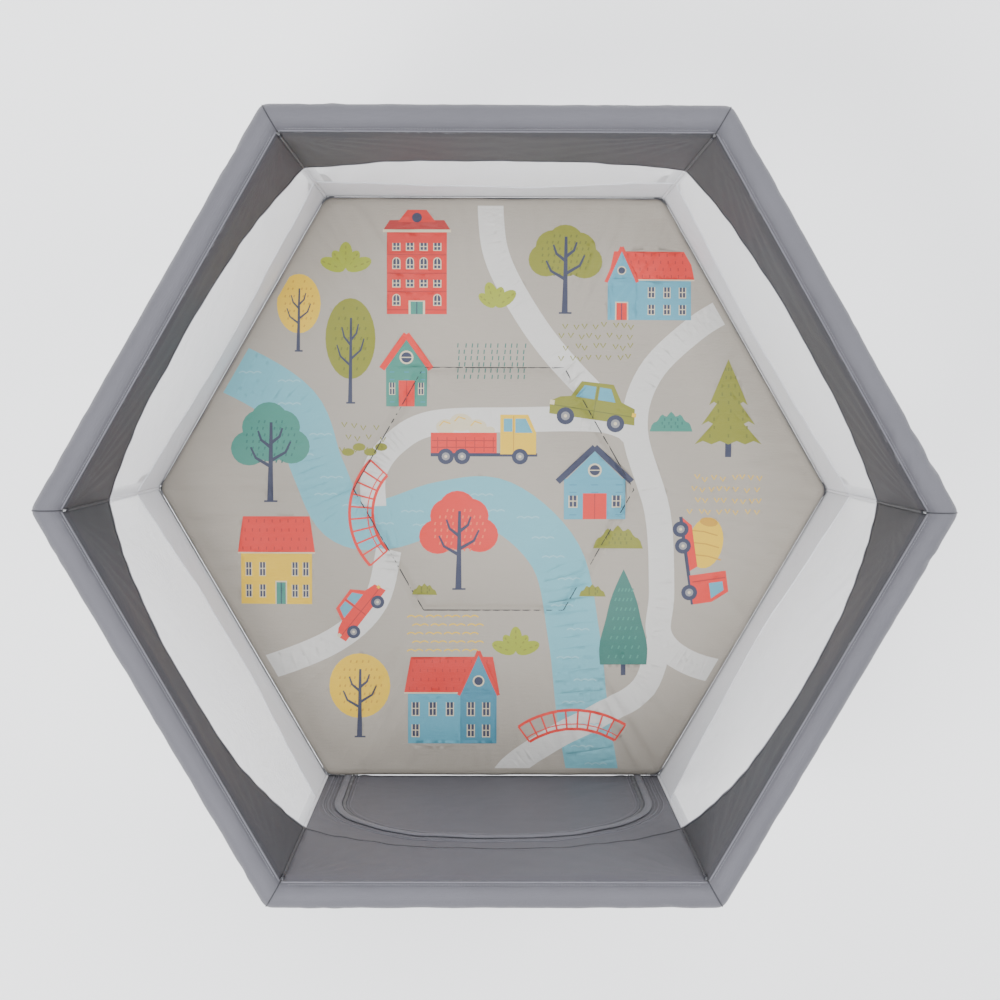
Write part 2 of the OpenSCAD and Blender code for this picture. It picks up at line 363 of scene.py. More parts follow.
def fixNormals(piece):
    work = bmesh.new()
    work.from_mesh(piece.data)
    bmesh.ops.recalc_face_normals(work, faces=work.faces)
    work.to_mesh(piece.data)
    work.free()


def applyModifiers(piece):
    ready = piece.evaluated_get(bpy.context.evaluated_depsgraph_get())
    mesh = bpy.data.meshes.new_from_object(ready)
    piece.modifiers.clear()
    piece.data = mesh


def thicken(piece, thickness):
    solid = piece.modifiers.new("thick", "SOLIDIFY")
    solid.thickness = thickness
    solid.offset = 0.0
    applyModifiers(piece)


# repeats along a seam

def repeatTree(kind):
    tree = bpy.data.node_groups.new(f"{kind}Along", "GeometryNodeTree")
    face = tree.interface
    face.new_socket("Geometry", in_out="INPUT", socket_type="NodeSocketGeometry")
    for label in ("Pitch", "Length", "Width", "Height"):
        face.new_socket(label, in_out="INPUT", socket_type="NodeSocketFloat")
    face.new_socket("Up", in_out="INPUT", socket_type="NodeSocketVector")
    face.new_socket("Finish", in_out="INPUT", socket_type="NodeSocketMaterial")
    face.new_socket("Geometry", in_out="OUTPUT", socket_type="NodeSocketGeometry")
    put = lambda sort, **k: nodeOf(tree, sort, **k)
    start, end = put("NodeGroupInput"), put("NodeGroupOutput")
    curve = put("GeometryNodeMeshToCurve")
    spaced = put("GeometryNodeResampleCurve", mode="LENGTH")
    shape = put("GeometryNodeMeshUVSphere") if kind == "stitch" else put("GeometryNodeMeshCube")
    if kind == "stitch":
        shape.inputs["Segments"].default_value = 6
        shape.inputs["Rings"].default_value = 4
        shape.inputs["Radius"].default_value = 0.5
    tangent = put("GeometryNodeInputTangent")
    along = put("FunctionNodeAlignRotationToVector", axis="X")
    upright = put("FunctionNodeAlignRotationToVector", axis="Z", pivot_axis="X")
    size = put("ShaderNodeCombineXYZ")
    copies = put("GeometryNodeInstanceOnPoints")
    real = put("GeometryNodeRealizeInstances")
    finish = put("GeometryNodeSetMaterial")
    join = tree.links.new
    join(start.outputs["Geometry"], curve.inputs["Mesh"])
    join(curve.outputs["Curve"], spaced.inputs["Curve"])
    join(start.outputs["Pitch"], spaced.inputs["Length"])
    join(tangent.outputs["Tangent"], along.inputs["Vector"])
    join(along.outputs["Rotation"], upright.inputs["Rotation"])
    join(start.outputs["Up"], upright.inputs["Vector"])
    join(spaced.outputs["Curve"], copies.inputs["Points"])
    join(shape.outputs["Mesh"], copies.inputs["Instance"])
    join(upright.outputs["Rotation"], copies.inputs["Rotation"])
    for label, axis in (("Length", "X"), ("Width", "Y"), ("Height", "Z")):
        join(start.outputs[label], size.inputs[axis])
    join(size.outputs["Vector"], copies.inputs["Scale"])
    join(copies.outputs["Instances"], real.inputs["Geometry"])
    join(real.outputs["Geometry"], finish.inputs["Geometry"])
    join(start.outputs["Finish"], finish.inputs["Material"])
    join(finish.outputs["Geometry"], end.inputs["Geometry"])
    return tree


repeatTrees = {kind: repeatTree(kind) for kind in ("stitch", "tooth")}
stitch = {"size": (0.0030, 0.0007, 0.0006), "pitch": 0.0044, "railPitch": 0.0042}  # length, width, height


def repeatAlong(name, kind, lines, pitch, size, up, finish):
    points, edges = [], []
    for line in lines:
        edges += [(len(points) + k, len(points) + k + 1) for k in range(len(line) - 1)]
        points += [tuple(p) for p in line]
    mesh = bpy.data.meshes.new(name)
    mesh.from_pydata(points, edges, [])
    piece = bpy.data.objects.new(name, mesh)
    bpy.context.scene.collection.objects.link(piece)
    tree = repeatTrees[kind]
    sockets = {s.name: s.identifier for s in tree.interface.items_tree if s.in_out == "INPUT"}
    modifier = piece.modifiers.new("repeat", "NODES")
    modifier.node_group = tree
    modifier[sockets["Pitch"]] = pitch
    for label, value in zip(("Length", "Width", "Height"), size):
        modifier[sockets[label]] = value
    modifier[sockets["Up"]] = tuple(up)
    modifier[sockets["Finish"]] = finish
    applyModifiers(piece)
    piece.data.shade_smooth()
    return piece


# padded covers over the top rails

cover = {"steps": 232, "around": 36, "capHalf": 0.017, "lockHalf": 0.045,
         "gather": 0.0007, "lump": 0.0012, "fold": 0.0011, "hemTurn": math.radians(-128), "pipeTurn": -0.21,
         "pipe": 0.0011,
         "seamTurn": math.radians(150), "inset": 0.0007, "hemPull": 0.0012, "seamPull": 0.0011}
wallCorner = -wallOffset * tan30  # from a post to the walls' corner, along a side


def coverSection(i, s, turn):  # turn 0 points out, 90 degrees is up; gives n and height
    radius = coverRadius - cover["inset"]
    n = radius * math.cos(turn)
    z = radius * math.sin(turn) * (1.0 if turn > 0 else 1.04)
    inner = math.exp(-((turn - math.radians(190)) / 0.45) ** 2)
    inner += math.exp(-((turn + math.radians(170)) / 0.45) ** 2)
    hem = math.exp(-((turn - cover["hemTurn"]) / 0.3) ** 2)
    calm = fade(postRadius / 2 - abs(s), 0.016, 0.05)
    gather = ripple(s * 5 + i * 3.1, turn * 0.35, 0, 28) * (inner + hem) * cover["gather"] * 2.2
    gather += ripple(s + i * 7.7, turn * 0.02, 1, 24) * cover["lump"] * 0.8
    slant = ripple(s * 1.0 + turn * 0.018 + i, 0.3, turn * 0.01, 55)
    edge = fade(abs(s), 0.12, 0.26)
    gather += slant * cover["fold"] * (0.35 + 0.9 * edge + (0.9 if i == 3 else 0) * fade(-s, -0.1, 0.2))
    gather -= cover["hemPull"] * hem + cover["seamPull"] * math.exp(-((turn - cover["seamTurn"]) / 0.09) ** 2)
    pipe = cover["pipe"] * math.exp(-((turn - cover["pipeTurn"]) / 0.055) ** 2)
    gather += pipe
    swell = 1 + (gather * calm + (pipe - cover["hemPull"] * hem) * (1 - calm)) / radius
    return n * swell, z * swell


def coverTurns():  # even round the section, with more where the piping stands out
    even = [2 * math.pi * a / cover["around"] - math.pi for a in range(cover["around"])]
    return sorted(even + [cover["pipeTurn"] + k for k in (-0.13, -0.065, -0.02, 0.02, 0.065, 0.13)])


def coverEdgeShade(faces, around):  # the strip of piping along the outer lower edge gets the darker cloth, painted shade for the shaded underside of the roll
    turns = coverTurns()
    return [1 if abs(turns[min(v % around for v in f)] - cover["pipeTurn"] + 0.03) < 0.1 and
            max(v % around for v in f) - min(v % around for v in f) < 2 else 0 for f in faces]


def coverGrid(i):
    reach = postRadius / 2 - cover["capHalf"]
    stations = [reach * (2 * k / cover["steps"] - 1) for k in range(cover["steps"] + 1)]
    for cut in (-cover["lockHalf"], 0, cover["lockHalf"]):
        nearest = min(range(len(stations)), key=lambda k: abs(stations[k] - cut))
        stations[nearest] = cut
    points = []
    for s in stations:
        for turn in coverTurns():
            n, z = coverSection(i, s, turn)
            points.append(sidePoint(i, s, n, railZ + z))
    return stations, points


def vertexNormals(points, faces):
    p = np.array([tuple(v) for v in points])
    f = np.array(faces)
    flat = np.cross(p[f[:, 2]] - p[f[:, 0]], p[f[:, 3]] - p[f[:, 1]])
    total = np.zeros_like(p)
    for k in range(4):
        np.add.at(total, f[:, k], flat)
    return total / np.maximum(np.linalg.norm(total, axis=1), 1e-12)[:, None]


def coverParts(i):
    stations, points = coverGrid(i)
    around = len(coverTurns())
    faces = gridFaces(len(stations), around, True)
    normals = vertexNormals(points, faces)
    if normals[around // 2] @ np.array(sideAxes(i)[0]) < 0:
        faces = [tuple(reversed(f)) for f in faces]
        normals = -normals
    bounds = [-1, -cover["lockHalf"], 0, cover["lockHalf"], 1]
    joints = (("leg", "left_link"), ("left_link", "knuckle"), ("knuckle", "right_link"), None)
    for part, label in enumerate(("Left", "MidLeft", "MidRight", "Right")):
        rows = [k for k, s in enumerate(stations) if bounds[part] - 1e-6 <= s <= bounds[part + 1] + 1e-6]
        first, last = rows[0] * around, (rows[-1] + 1) * around
        inside = [tuple(v - first for v in f) for f in faces if first <= min(f) and max(f) < last]
        uv = [(stations[k], turn * coverRadius) for k in rows for turn in coverTurns()]
        # the outer lower edge gets the darker cloth, painted shade for the roll's shaded underside
        piece = newPiece(f"railCover{label}{i}", points[first:last], inside, [coverCloth, edgeShadeCloth],
                         normals=[tuple(v) for v in normals[first:last]], uv=uv,
                         faceMaterial=coverEdgeShade(inside, around))
        if joints[part]:
            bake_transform(piece)
        else:
            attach(piece, f"right_link_{i}")


def cornerCap(i):  # the mitred corner of the covers over post i
    before = 6 if i == 1 else i - 1
    half = cover["capHalf"]
    turns = coverTurns()
    rows = []
    for side, sign in ((before, 1), (i, -1)):
        distances = [half, half * 0.8, half * 0.6, half * 0.4, half * 0.2]
        ring = []
        for d in distances:
            blend = 1 - d / half
            line = []
            for turn in turns:
                n, z = coverSection(side, sign * (postRadius / 2 - d), turn)
                near = d - n * tan30 * blend
                line.append(sidePoint(side, sign * (postRadius / 2 - near), n, railZ + z))
            ring.append(line)
        rows.append(ring)
    mitre = []
    for turn in turns:
        n, z = coverSection(i, -postRadius / 2, turn)
        mitre.append(sidePoint(i, -postRadius / 2 - n * tan30, n, railZ + z))
    strip = rows[0] + [mitre] + rows[1][::-1]
    for _ in range(3):  # round the outer corner off
        strip = [strip[0]] + [
            [(strip[r - 1][a] + strip[r][a] * 2 + strip[r + 1][a]) / 4 if math.cos(turns[a]) > -0.2
             else strip[r][a] for a in range(len(turns))] for r in range(1, len(strip) - 1)] + [strip[-1]]
    points = [p for ring in strip for p in ring]
    faces = gridFaces(len(strip), len(turns), True)
    uv = [(r * 0.004, a * 0.0033) for r in range(len(strip)) for a in range(len(turns))]
    normals = vertexNormals(points, faces)
    middle = len(strip) // 2 * len(turns) + len(turns) // 2
    if normals[middle] @ np.array(postPoint(i, 1, 0)) < 0:
        faces = [tuple(reversed(f)) for f in faces]
    # the outer lower edge gets the darker cloth, painted shade for the roll's shaded underside
    piece = newPiece(f"cornerCap{i}", points, faces, [coverCloth, edgeShadeCloth], uv=uv,
                     faceMaterial=coverEdgeShade(faces, len(turns)))
    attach(piece, f"leg_{i}")
    seamTurns = [k for k, t in enumerate(turns) if math.radians(-120) < t or t < math.radians(-165)]
    seamTurns = sorted(seamTurns, key=lambda k: turns[k] if turns[k] > math.radians(-130) else turns[k] + 2 * math.pi)
    line = [strip[len(strip) // 2][k] + (strip[len(strip) // 2][k] - postPoint(i, postRadius,
                                                                               railZ)).normalized() * 0.0002
            for k in seamTurns]
    ups = [(p - postPoint(i, postRadius, railZ)).normalized() for p in line]
    seam = tubeAlong(f"cornerSeam{i}", line, 0.0009, seamCloth, ups, 0.8, 6)
    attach(seam, f"leg_{i}")


for i in sides:
    coverParts(i)
    cornerCap(i)
print("stage: rail covers")


# fabric walls

wall = {"edge": wallCorner + 0.001, "top": railZ + 0.005, "bandPower": 2.4,
        "bandCorner": {1: 0.405, 2: 0.405, 3: 0.410, 4: 0.365, 5: 0.380, 6: 0.420},
        "bandMiddle": {1: 0.520, 2: 0.590, 3: 0.525, 4: 0.455, 5: 0.552, 6: 0.586}, "hemTop": 0.200,
        "hemDip": 0.030, "columns": 116, "step": 0.006,
        "tuck": 0.0040, "pull": 0.0022, "crease": 0.0012, "bandThick": 0.0011, "hemThick": 0.0008, "lap": 0.006,
        "keep": (foldedRadius - 2 * wallCorner) / (postRadius - 2 * wallCorner)}
wallHalf = postRadius / 2 - wall["edge"]


def bandEdge(i, s):  # height of the band's scalloped lower edge; each end meets its post's height
    middle = wall["bandMiddle"][i]
    corner = wall["bandCorner"][i if s < 0 else i % 6 + 1]
    return middle - (middle - corner) * abs(s / wallHalf) ** wall["bandPower"]


def hemEdge(s):
    return wall["hemTop"] - wall["hemDip"] * math.cos(math.pi * s / wallHalf / 1.3)


def wallRelief(i, s, z):  # how far the cloth stands off its plane, into the room
    corner = fade(wallHalf - abs(s), 0, 0.03)
    rim = fade(wall["top"] - z, 0, 0.03) * fade(z - floorZ, 0.015, 0.07)
    sweep = ripple(s * 1.2 + i * 3, z * 0.25, i, 9) * wall["pull"]
    for sign in (-1, 1):  # tension creases that run from the upper corners, then from the lower ones
        dx = sign * wallHalf - s
        for dz, creases, start, deep, reach, near in (
                (wall["top"] - z, 26, i + sign, wall["crease"], 0.22, 0.08),
                (z - floorZ, 22, 2 * i - sign, wall["crease"] * 0.8, 0.16, 0.07)):
            angle, far = math.atan2(abs(dx), max(dz, 1e-6)), math.hypot(dx, dz)
            sweep += math.sin(angle * creases + start) * deep * math.exp(-far / reach) * fade(far, 0.01, near)
    return (sweep + 0.0006 * ripple(s, z, i * 2, 40)) * corner * rim


def wallPoint(i, s, z, offset=0.0):
    tuck = wall["tuck"] * fade(z, wall["top"] - 0.022, wall["top"])  # meets the rail cover
    return sidePoint(i, s, wallOffset + tuck - wallRelief(i, s, z) + offset, z)


def squashSide(piece, i):
    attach(piece, f"leg_{i}")
    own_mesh(piece)


def wallSheet(name, i, low, high, material, thickness, offset=0.0):
    columns = wall["columns"] + 1
    stations = [wallHalf * (2 * k / wall["columns"] - 1) for k in range(columns)]
    rows = max(int((high(0) - low(0)) / wall["step"]), 4) + 1
    points, uv = [], []
    for r in range(rows):
        for s in stations:
            z = high(s) + (low(s) - high(s)) * r / (rows - 1)
            points.append(wallPoint(i, s, z, offset))
            uv.append((s, z))
    piece = newPiece(name, points, gridFaces(rows, columns), [material], uv=uv)
    if thickness:
        thicken(piece, thickness)
    tall = high(0) - low(0)
    area = sum((high(s) - low(s)) for s in stations) / columns * 2 * wallHalf
    max(tall, high(wallHalf) - low(wallHalf))
    squashSide(piece, i)
    return piece


def ribbon(name, i, line, width, thickness, material):
    piece = tubeAlong(name, line, width / 2, material, -sideAxes(i)[0], thickness / width, 6)
    squashSide(piece, i)


def wallLine(i, height, offset, steps=96):
    stations = [wallHalf * (2 * k / steps - 1) for k in range(steps + 1)]
    return [wallPoint(i, s, height(s), offset) for s in stations]


def meshSide(i):
    wallSheet(f"sideBand{i}", i, lambda s: bandEdge(i, s), lambda s: wall["top"],
              bandCloth, wall["bandThick"], -0.0006)
    wallSheet(f"sideNet{i}", i, lambda s: floorZ + 0.001, lambda s: bandEdge(i, s) + wall["lap"],
              netting, 0, 0.0006)
    wallSheet(f"sideHem{i}", i, lambda s: floorZ + 0.0005, hemEdge,
              hemCloth, wall["hemThick"], -0.0003)
    bandLine = wallLine(i, lambda s: bandEdge(i, s) - 0.001, -0.0016)
    ribbon(f"bandBinding{i}", i, bandLine, 0.005, 0.0012, pipingCloth)
    hemLine = wallLine(i, lambda s: hemEdge(s) - 0.001, -0.0012)
    ribbon(f"hemBinding{i}", i, hemLine, 0.004, 0.001, whiteBinding)


for i in sides[1:]:
    meshSide(i)


def cornerBinding(i):
    reach = postRadius + wallOffset / cos30
    change = wall["bandCorner"][i] - 0.004
    for label, low, high, material, wide in (("Upper", change, railZ - 0.004, seamCloth, 0.0034),
                                             ("Lower", floorZ, change, whiteBinding, 0.0046)):
        line = [postPoint(i, reach - 0.0022, low + (high - low) * k / 24) for k in range(25)]
        piece = tubeAlong(f"cornerBinding{label}{i}", line, wide / 2, material, postPoint(i, 1, 0), 0.6, 8)
        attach(piece, f"leg_{i}")


for i in sides:
    cornerBinding(i)
    seamLine = [sidePoint(i, s, -coverRadius + 0.0016, railZ + 0.0052)
                for s in np.linspace(-wallHalf - 0.001, wallHalf + 0.001, 90)]
    ribbon(f"coverSeam{i}", i, seamLine, 0.0036, 0.0030, pipingCloth)
    stitchLine = [sidePoint(i, s, -coverRadius * 0.815, railZ + 0.0098)
                  for s in np.linspace(-wallHalf + 0.01, wallHalf - 0.01, 60)]
    stitches = repeatAlong(f"railStitch{i}", "stitch", [stitchLine],
                           stitch["railPitch"], stitch["size"], (0, 0, 1), greyThread)
    squashSide(stitches, i)
print("stage: walls")


# front panel with the zipped door

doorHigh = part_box("door_flap")[1]
door = {"half": doorHigh.x + 0.003, "low": floorZ + 0.0035, "top": doorHigh.z + 0.003, "corner": 0.220,
        "gap": 0.003, "step": 0.0075, "thick": 0.0014, "tape": 0.0075, "toothPitch": 0.0026,
        "tooth": (0.0014, 0.0027, 0.0019),
        "welt": 0.0020, "pipes": ((0.0185, 0.0018), (0.0265, 0.0015)), "innerPipe": -0.0125}


def archPath(grow, spacing=0.006, low=None):  # up the left edge, over the top, down the right
    half, radius, top = door["half"] + grow, door["corner"] + grow, door["top"] + grow
    low = door["low"] if low is None else low
    shoulder = top - radius
    rise = max(int((shoulder - low) / spacing), 2)
    line = [(-half, low + (shoulder - low) * k / rise) for k in range(rise)]
    bend = max(int(radius * math.pi / 2 / spacing), 8)
    line += [(-half + radius * (1 - math.cos(math.pi / 2 * k / bend)),
              shoulder + radius * math.sin(math.pi / 2 * k / bend))
             for k in range(bend + 1)]
    flat = 2 * (half - radius)
    across = max(int(flat / spacing), 1)
    line += [(-half + radius + flat * k / across, top) for k in range(1, across)]
    return line + [(-s, z) for s, z in reversed(line[:rise + bend + 1])]


def archDepth(s, z):  # distance outside the door's outline; negative inside
    half, radius, top = door["half"], door["corner"], door["top"]
    dx, dz = abs(s) - (half - radius), z - (top - radius)
    if dz < 0:
        return abs(s) - half
    return math.hypot(max(dx, 0), dz) - radius if dx > 0 else z - top


def frontPoint(s, z, offset=0.0):
    near = archDepth(s, z)
    side = fade(abs(s), 0.10, 0.24)
    fold = math.exp(-((near - 0.033) / 0.005) ** 2) * 0.0022 + math.exp(-((near + 0.026) / 0.007) ** 2) * 0.0016
    loose = 0.0016 * math.exp(-((near - 0.045) / 0.02) ** 2) * ripple(s, z, 5, 14)
    point = wallPoint(1, s, z, offset)
    return point - sideAxes(1)[0] * (fold * side + loose) * fade(wallHalf - abs(s), 0, 0.02)


def fillOutline(outline, step, keepPoint):  # triangles over a flat outline, with even points inside
    low = [min(p[k] for p in outline) for k in (0, 1)]
    high = [max(p[k] for p in outline) for k in (0, 1)]
    edges = [(k, (k + 1) % len(outline)) for k in range(len(outline))]
    ends = np.array(outline, float)
    points = [Vector(p) for p in outline]
    for row in range(int((high[1] - low[1]) / step) + 1):
        for column in range(int((high[0] - low[0]) / step) + 2):
            p = (low[0] + (column + 0.5 * (row % 2)) * step, low[1] + (row + 0.5) * step)
            if keepPoint(*p) and np.min(np.hypot(ends[:, 0] - p[0], ends[:, 1] - p[1])) > step * 0.55:
                points.append(Vector(p))
    verts, _, faces, *_ = geometry.delaunay_2d_cdt(points, edges, [], 0, 1e-6)
    inside = [tuple(f) for f in faces
              if keepPoint(*((verts[f[0]] + verts[f[1]] + verts[f[2]]) / 3))]
    used = sorted({v for f in inside for v in f})
    place = {v: k for k, v in enumerate(used)}
    return [tuple(verts[v]) for v in used], [tuple(place[v] for v in f) for f in inside]


def frontSheet(name, outline, keepPoint, material, thickness, body):
    flatPoints, faces = fillOutline(outline, door["step"], keepPoint)
    points = [frontPoint(s, z) for s, z in flatPoints]
    piece = newPiece(name, points, faces, [material], uv=flatPoints)
    if Vector(piece.data.polygons[0].normal).dot(sideAxes(1)[0]) > 0:
        piece.data.flip_normals()
    thicken(piece, thickness)
    frontRide(piece, body)
    return piece


def frontRide(piece, body):
    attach(piece, body)
    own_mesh(piece)


wallLow = floorZ + 0.0005
opening = archPath(door["gap"], low=wallLow)
panelEdge = [(-wallHalf, wallLow)] + opening + [(wallHalf, wallLow)]
panelEdge += [(wallHalf, wallLow + (wall["top"] - wallLow) * k / 80) for k in range(1, 80)]
panelEdge += [(wallHalf * (1 - 2 * k / 72), wall["top"]) for k in range(73)]
panelEdge += [(-wallHalf, wall["top"] - (wall["top"] - wallLow) * k / 80) for k in range(1, 80)]
frontSheet("frontPanel", panelEdge,
           lambda s, z: abs(s) < wallHalf and wallLow < z < wall["top"] and archDepth(s, z) > door["gap"],
           panelCloth, door["thick"], "leg_1")
flapEdge = archPath(-door["gap"])
flapEdge += [(door["half"] * (1 - 2 * k / 64), door["low"]) for k in range(1, 64)]
frontSheet("doorPanel", flapEdge, lambda s, z: archDepth(s, z) < -door["gap"] and z > door["low"],
           panelCloth, door["thick"], "door")


def archLine(grow, offset):
    return [frontPoint(s, z, offset) for s, z in archPath(grow)]


def archRibbon(name, grow, width, thickness, offset, material, body):
    line = archLine(grow, offset)
    piece = tubeAlong(name, line, width / 2, material, -sideAxes(1)[0], thickness / width, 8)
    frontRide(piece, body)


inside, outside = -0.0012, 0.0012
archRibbon("zipTapePanel", door["tape"], 0.013, 0.0012, outside, zipTape, "leg_1")
archRibbon("zipTapeDoor", -door["tape"], 0.013, 0.0012, outside, zipTape, "door")
archRibbon("zipWelt", door["welt"], 0.0125, 0.0046, inside - door["thick"], pipingCloth, "leg_1")
archRibbon("doorPiping", door["innerPipe"], 0.0030, 0.0022, inside, panelCloth, "door")
archRibbon("doorEdgeBinding", -door["tape"], 0.0060, 0.0016, inside, zipTape, "door")
for label, (grow, width) in zip("AB", door["pipes"]):
    archRibbon(f"panelPiping{label}", grow, width * 1.5, width, inside, pipingCloth, "leg_1")
for label, body, grow in (("Panel", "leg_1", 0.0013), ("Door", "door", -0.0013)):
    teeth = repeatAlong(f"zipTeeth{label}", "tooth", [archLine(grow, 0)], door["toothPitch"], door["tooth"],
                        sideAxes(1)[0], zipNylon)
    frontRide(teeth, body)
    rows = [archLine(g, inside - 0.0002) for g in ((0.0128, 0.0225) if body == "leg_1" else (-0.0175,))]
    rows += [archLine(g, outside + 0.0008) for g in ((0.0105,) if body == "leg_1" else (-0.0105,))]
    stitches = repeatAlong(f"zipStitch{label}", "stitch", rows, stitch["pitch"], stitch["size"], sideAxes(1)[0],
                           greyThread)
    frontRide(stitches, body)

seamRow = [frontPoint(s, bandEdge(1, s), inside) for s in np.linspace(-wallHalf + 0.002, wallHalf - 0.002, 90)]
seam = tubeAlong("frontSeam", seamRow, 0.0008, seamCloth, -sideAxes(1)[0], 0.8, 6)
frontRide(seam, "leg_1")
rows = [[frontPoint(s, bandEdge(1, s) + lift, inside - 0.0002) for s in np.linspace(-wallHalf + 0.004,
                                                                                    wallHalf - 0.004, 90)]
        for lift in (0.004,)]
stitches = repeatAlong("frontSeamStitch", "stitch", rows, stitch["pitch"], stitch["size"], sideAxes(1)[0], greyThread)
frontRide(stitches, "leg_1")
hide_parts("side_1")
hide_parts("door_flap")
for i in sides[1:]:
    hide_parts(f"side_{i}")
print("stage: front panel and door")


# floor cloth under the mat, one piece for each arm

floor = {"hole": 0.062, "keep": 0.30, "thickness": 0.0009, "rings": 26, "across": 15, "edge": 0.0225}


def floorPetal(i):
    outer = postRadius - floor["edge"] / cos30
    spoke = postTurn(i)
    hole = floor["hole"] / cos30  # round the hub, as in the sheet's own access hole
    points, uv = [], []
    for r in range(floor["rings"] + 1):
        reach = hole + (outer - hole) * r / floor["rings"]
        for c in range(-floor["across"], floor["across"] + 1):
            turn = c / floor["across"]  # -1 and 1 are the middles of the two sides
            radial = reach * (1 - 0.25 * abs(turn))
            across = reach * cos30 * 0.5 * turn
            x = radial * math.cos(spoke) - across * math.sin(spoke)
            y = radial * math.sin(spoke) + across * math.cos(spoke)
            sag = -0.0004 + 0.0003 * ripple(x, y, 0, 11)
            points.append(Vector((x, y, floorZ - 0.0004 + sag * fade(reach, 0.01, 0.08))))
            uv.append((x, y))
    columns = 2 * floor["across"] + 1
    faces = [f for f in gridFaces(floor["rings"] + 1, columns)]
    piece = newPiece(f"floorCloth{i}", points, faces, [floorCloth], uv=uv)
    work = bmesh.new()
    work.from_mesh(piece.data)
    bmesh.ops.remove_doubles(work, verts=work.verts, dist=1e-5)
    bmesh.ops.recalc_face_normals(work, faces=work.faces)
    work.to_mesh(piece.data)
    work.free()
    thicken(piece, floor["thickness"])
    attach(piece, f"spoke_{i}")
    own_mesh(piece)
    return piece


petals = [floorPetal(i) for i in sides]
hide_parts("floor_sheet")
print("stage: floor cloth")


# the mat's printed picture, in millimetres, X to the right and Y to the back


def paint(red, green, blue, depth=0.77, vivid=1.6):  # screen colour to a cloth dye's
    dye = [(c / 255 / 12.92) if c / 255 <= 0.04045 else ((c / 255 + 0.055) / 1.055) ** 2.4
           for c in (red, green, blue)]
    grey = 0.21 * dye[0] + 0.72 * dye[1] + 0.07 * dye[2]
    return tuple(min(max((grey + (c - grey) * vivid) * depth, 0.004), 1) for c in dye)


inks = {"ground": paint(178, 173, 165), "road": paint(230, 229, 226), "water": paint(147, 190, 199),
        "ripple": paint(176, 208, 214), "coral": paint(208, 82, 66), "brick": paint(196, 76, 50),
        "rust": paint(160, 58, 44), "mustard": paint(236, 206, 24), "amber": paint(202, 166, 24),
        "olive": paint(139, 141, 66), "moss": paint(112, 116, 54), "lime": paint(164, 172, 96),
        "teal": paint(92, 139, 128), "deepTeal": paint(70, 112, 104), "sky": paint(124, 170, 186),
        "deepSky": paint(98, 142, 160), "navy": paint(42, 48, 72), "cream": paint(226, 218, 198),
        "pink": paint(222, 128, 110), "grey": paint(150, 150, 152)}
shapes = []


def area(ink, points):
    shapes.append((ink, [tuple(p) for p in points]))


def block(ink, left, bottom, right, top):
    area(ink, [(left, bottom), (right, bottom), (right, top), (left, top)])


def disc(ink, x, y, wide, tall=None, turn=0.0, count=18):
    tall = wide if tall is None else tall
    c, s = math.cos(turn), math.sin(turn)
    bend = [2 * math.pi * k / count for k in range(count)]
    ring = [(wide * math.cos(b), tall * math.sin(b)) for b in bend]
    area(ink, [(x + a * c - b * s, y + a * s + b * c) for a, b in ring])


def stroke(ink, path, width, taper=1.0):
    sides = []
    for k, p in enumerate(path):
        a, b = path[max(k - 1, 0)], path[min(k + 1, len(path) - 1)]
        length = math.hypot(b[0] - a[0], b[1] - a[1]) or 1
        half = width / 2 * (1 + (taper - 1) * k / max(len(path) - 1, 1))
        dx, dy = -(b[1] - a[1]) / length * half, (b[0] - a[0]) / length * half
        sides.append(((p[0] + dx, p[1] + dy), (p[0] - dx, p[1] - dy)))
    for (a, b), (c, d) in zip(sides, sides[1:]):
        area(ink, [b, d, c, a])


def smoothPath(points, pieces=7):  # an even curve through the points
    ends = [points[0]] + list(points) + [points[-1]]
    line = []
    for k in range(1, len(ends) - 2):
        p = [np.array(ends[k + j], float) for j in (-1, 0, 1, 2)]
        for t in np.arange(pieces) / pieces:
            line.append(tuple(0.5 * (2 * p[1] + (p[2] - p[0]) * t + (2 * p[0] - 5 * p[1] + 4 * p[2] - p[3]) * t ** 2
                                     + (3 * p[1] - p[0] - 3 * p[2] + p[3]) * t ** 3)))
    return line + [tuple(points[-1])]


def placed(x, y, turn, size, draw):  # draw at the origin, then turn, scale and move
    first = len(shapes)
    draw()
    c, s = math.cos(turn) * size, math.sin(turn) * size
    for k in range(first, len(shapes)):
        ink, points = shapes[k]
        shapes[k] = (ink, [(x + a * c - b * s, y + a * s + b * c) for a, b in points])


def flecks(ink, x, y, wide, tall, rows, length, width, lean=0.0, skip=0.0):
    for row in range(rows):
        v = (row + 0.5) / rows * 2 - 1
        span = math.sqrt(max(1 - v * v, 0)) * wide * 0.86
        count = max(int(span * 2 / (length * 1.9)), 1)
        for k in range(count):
            u = ((k + 0.5) / count * 2 - 1) * span + (0.35 * length if row % 2 else 0)
            if abs(u) < skip:
                continue
            stroke(ink, [(x + u - lean, y + v * tall - length / 2), (x + u + lean, y + v * tall + length / 2)], width)


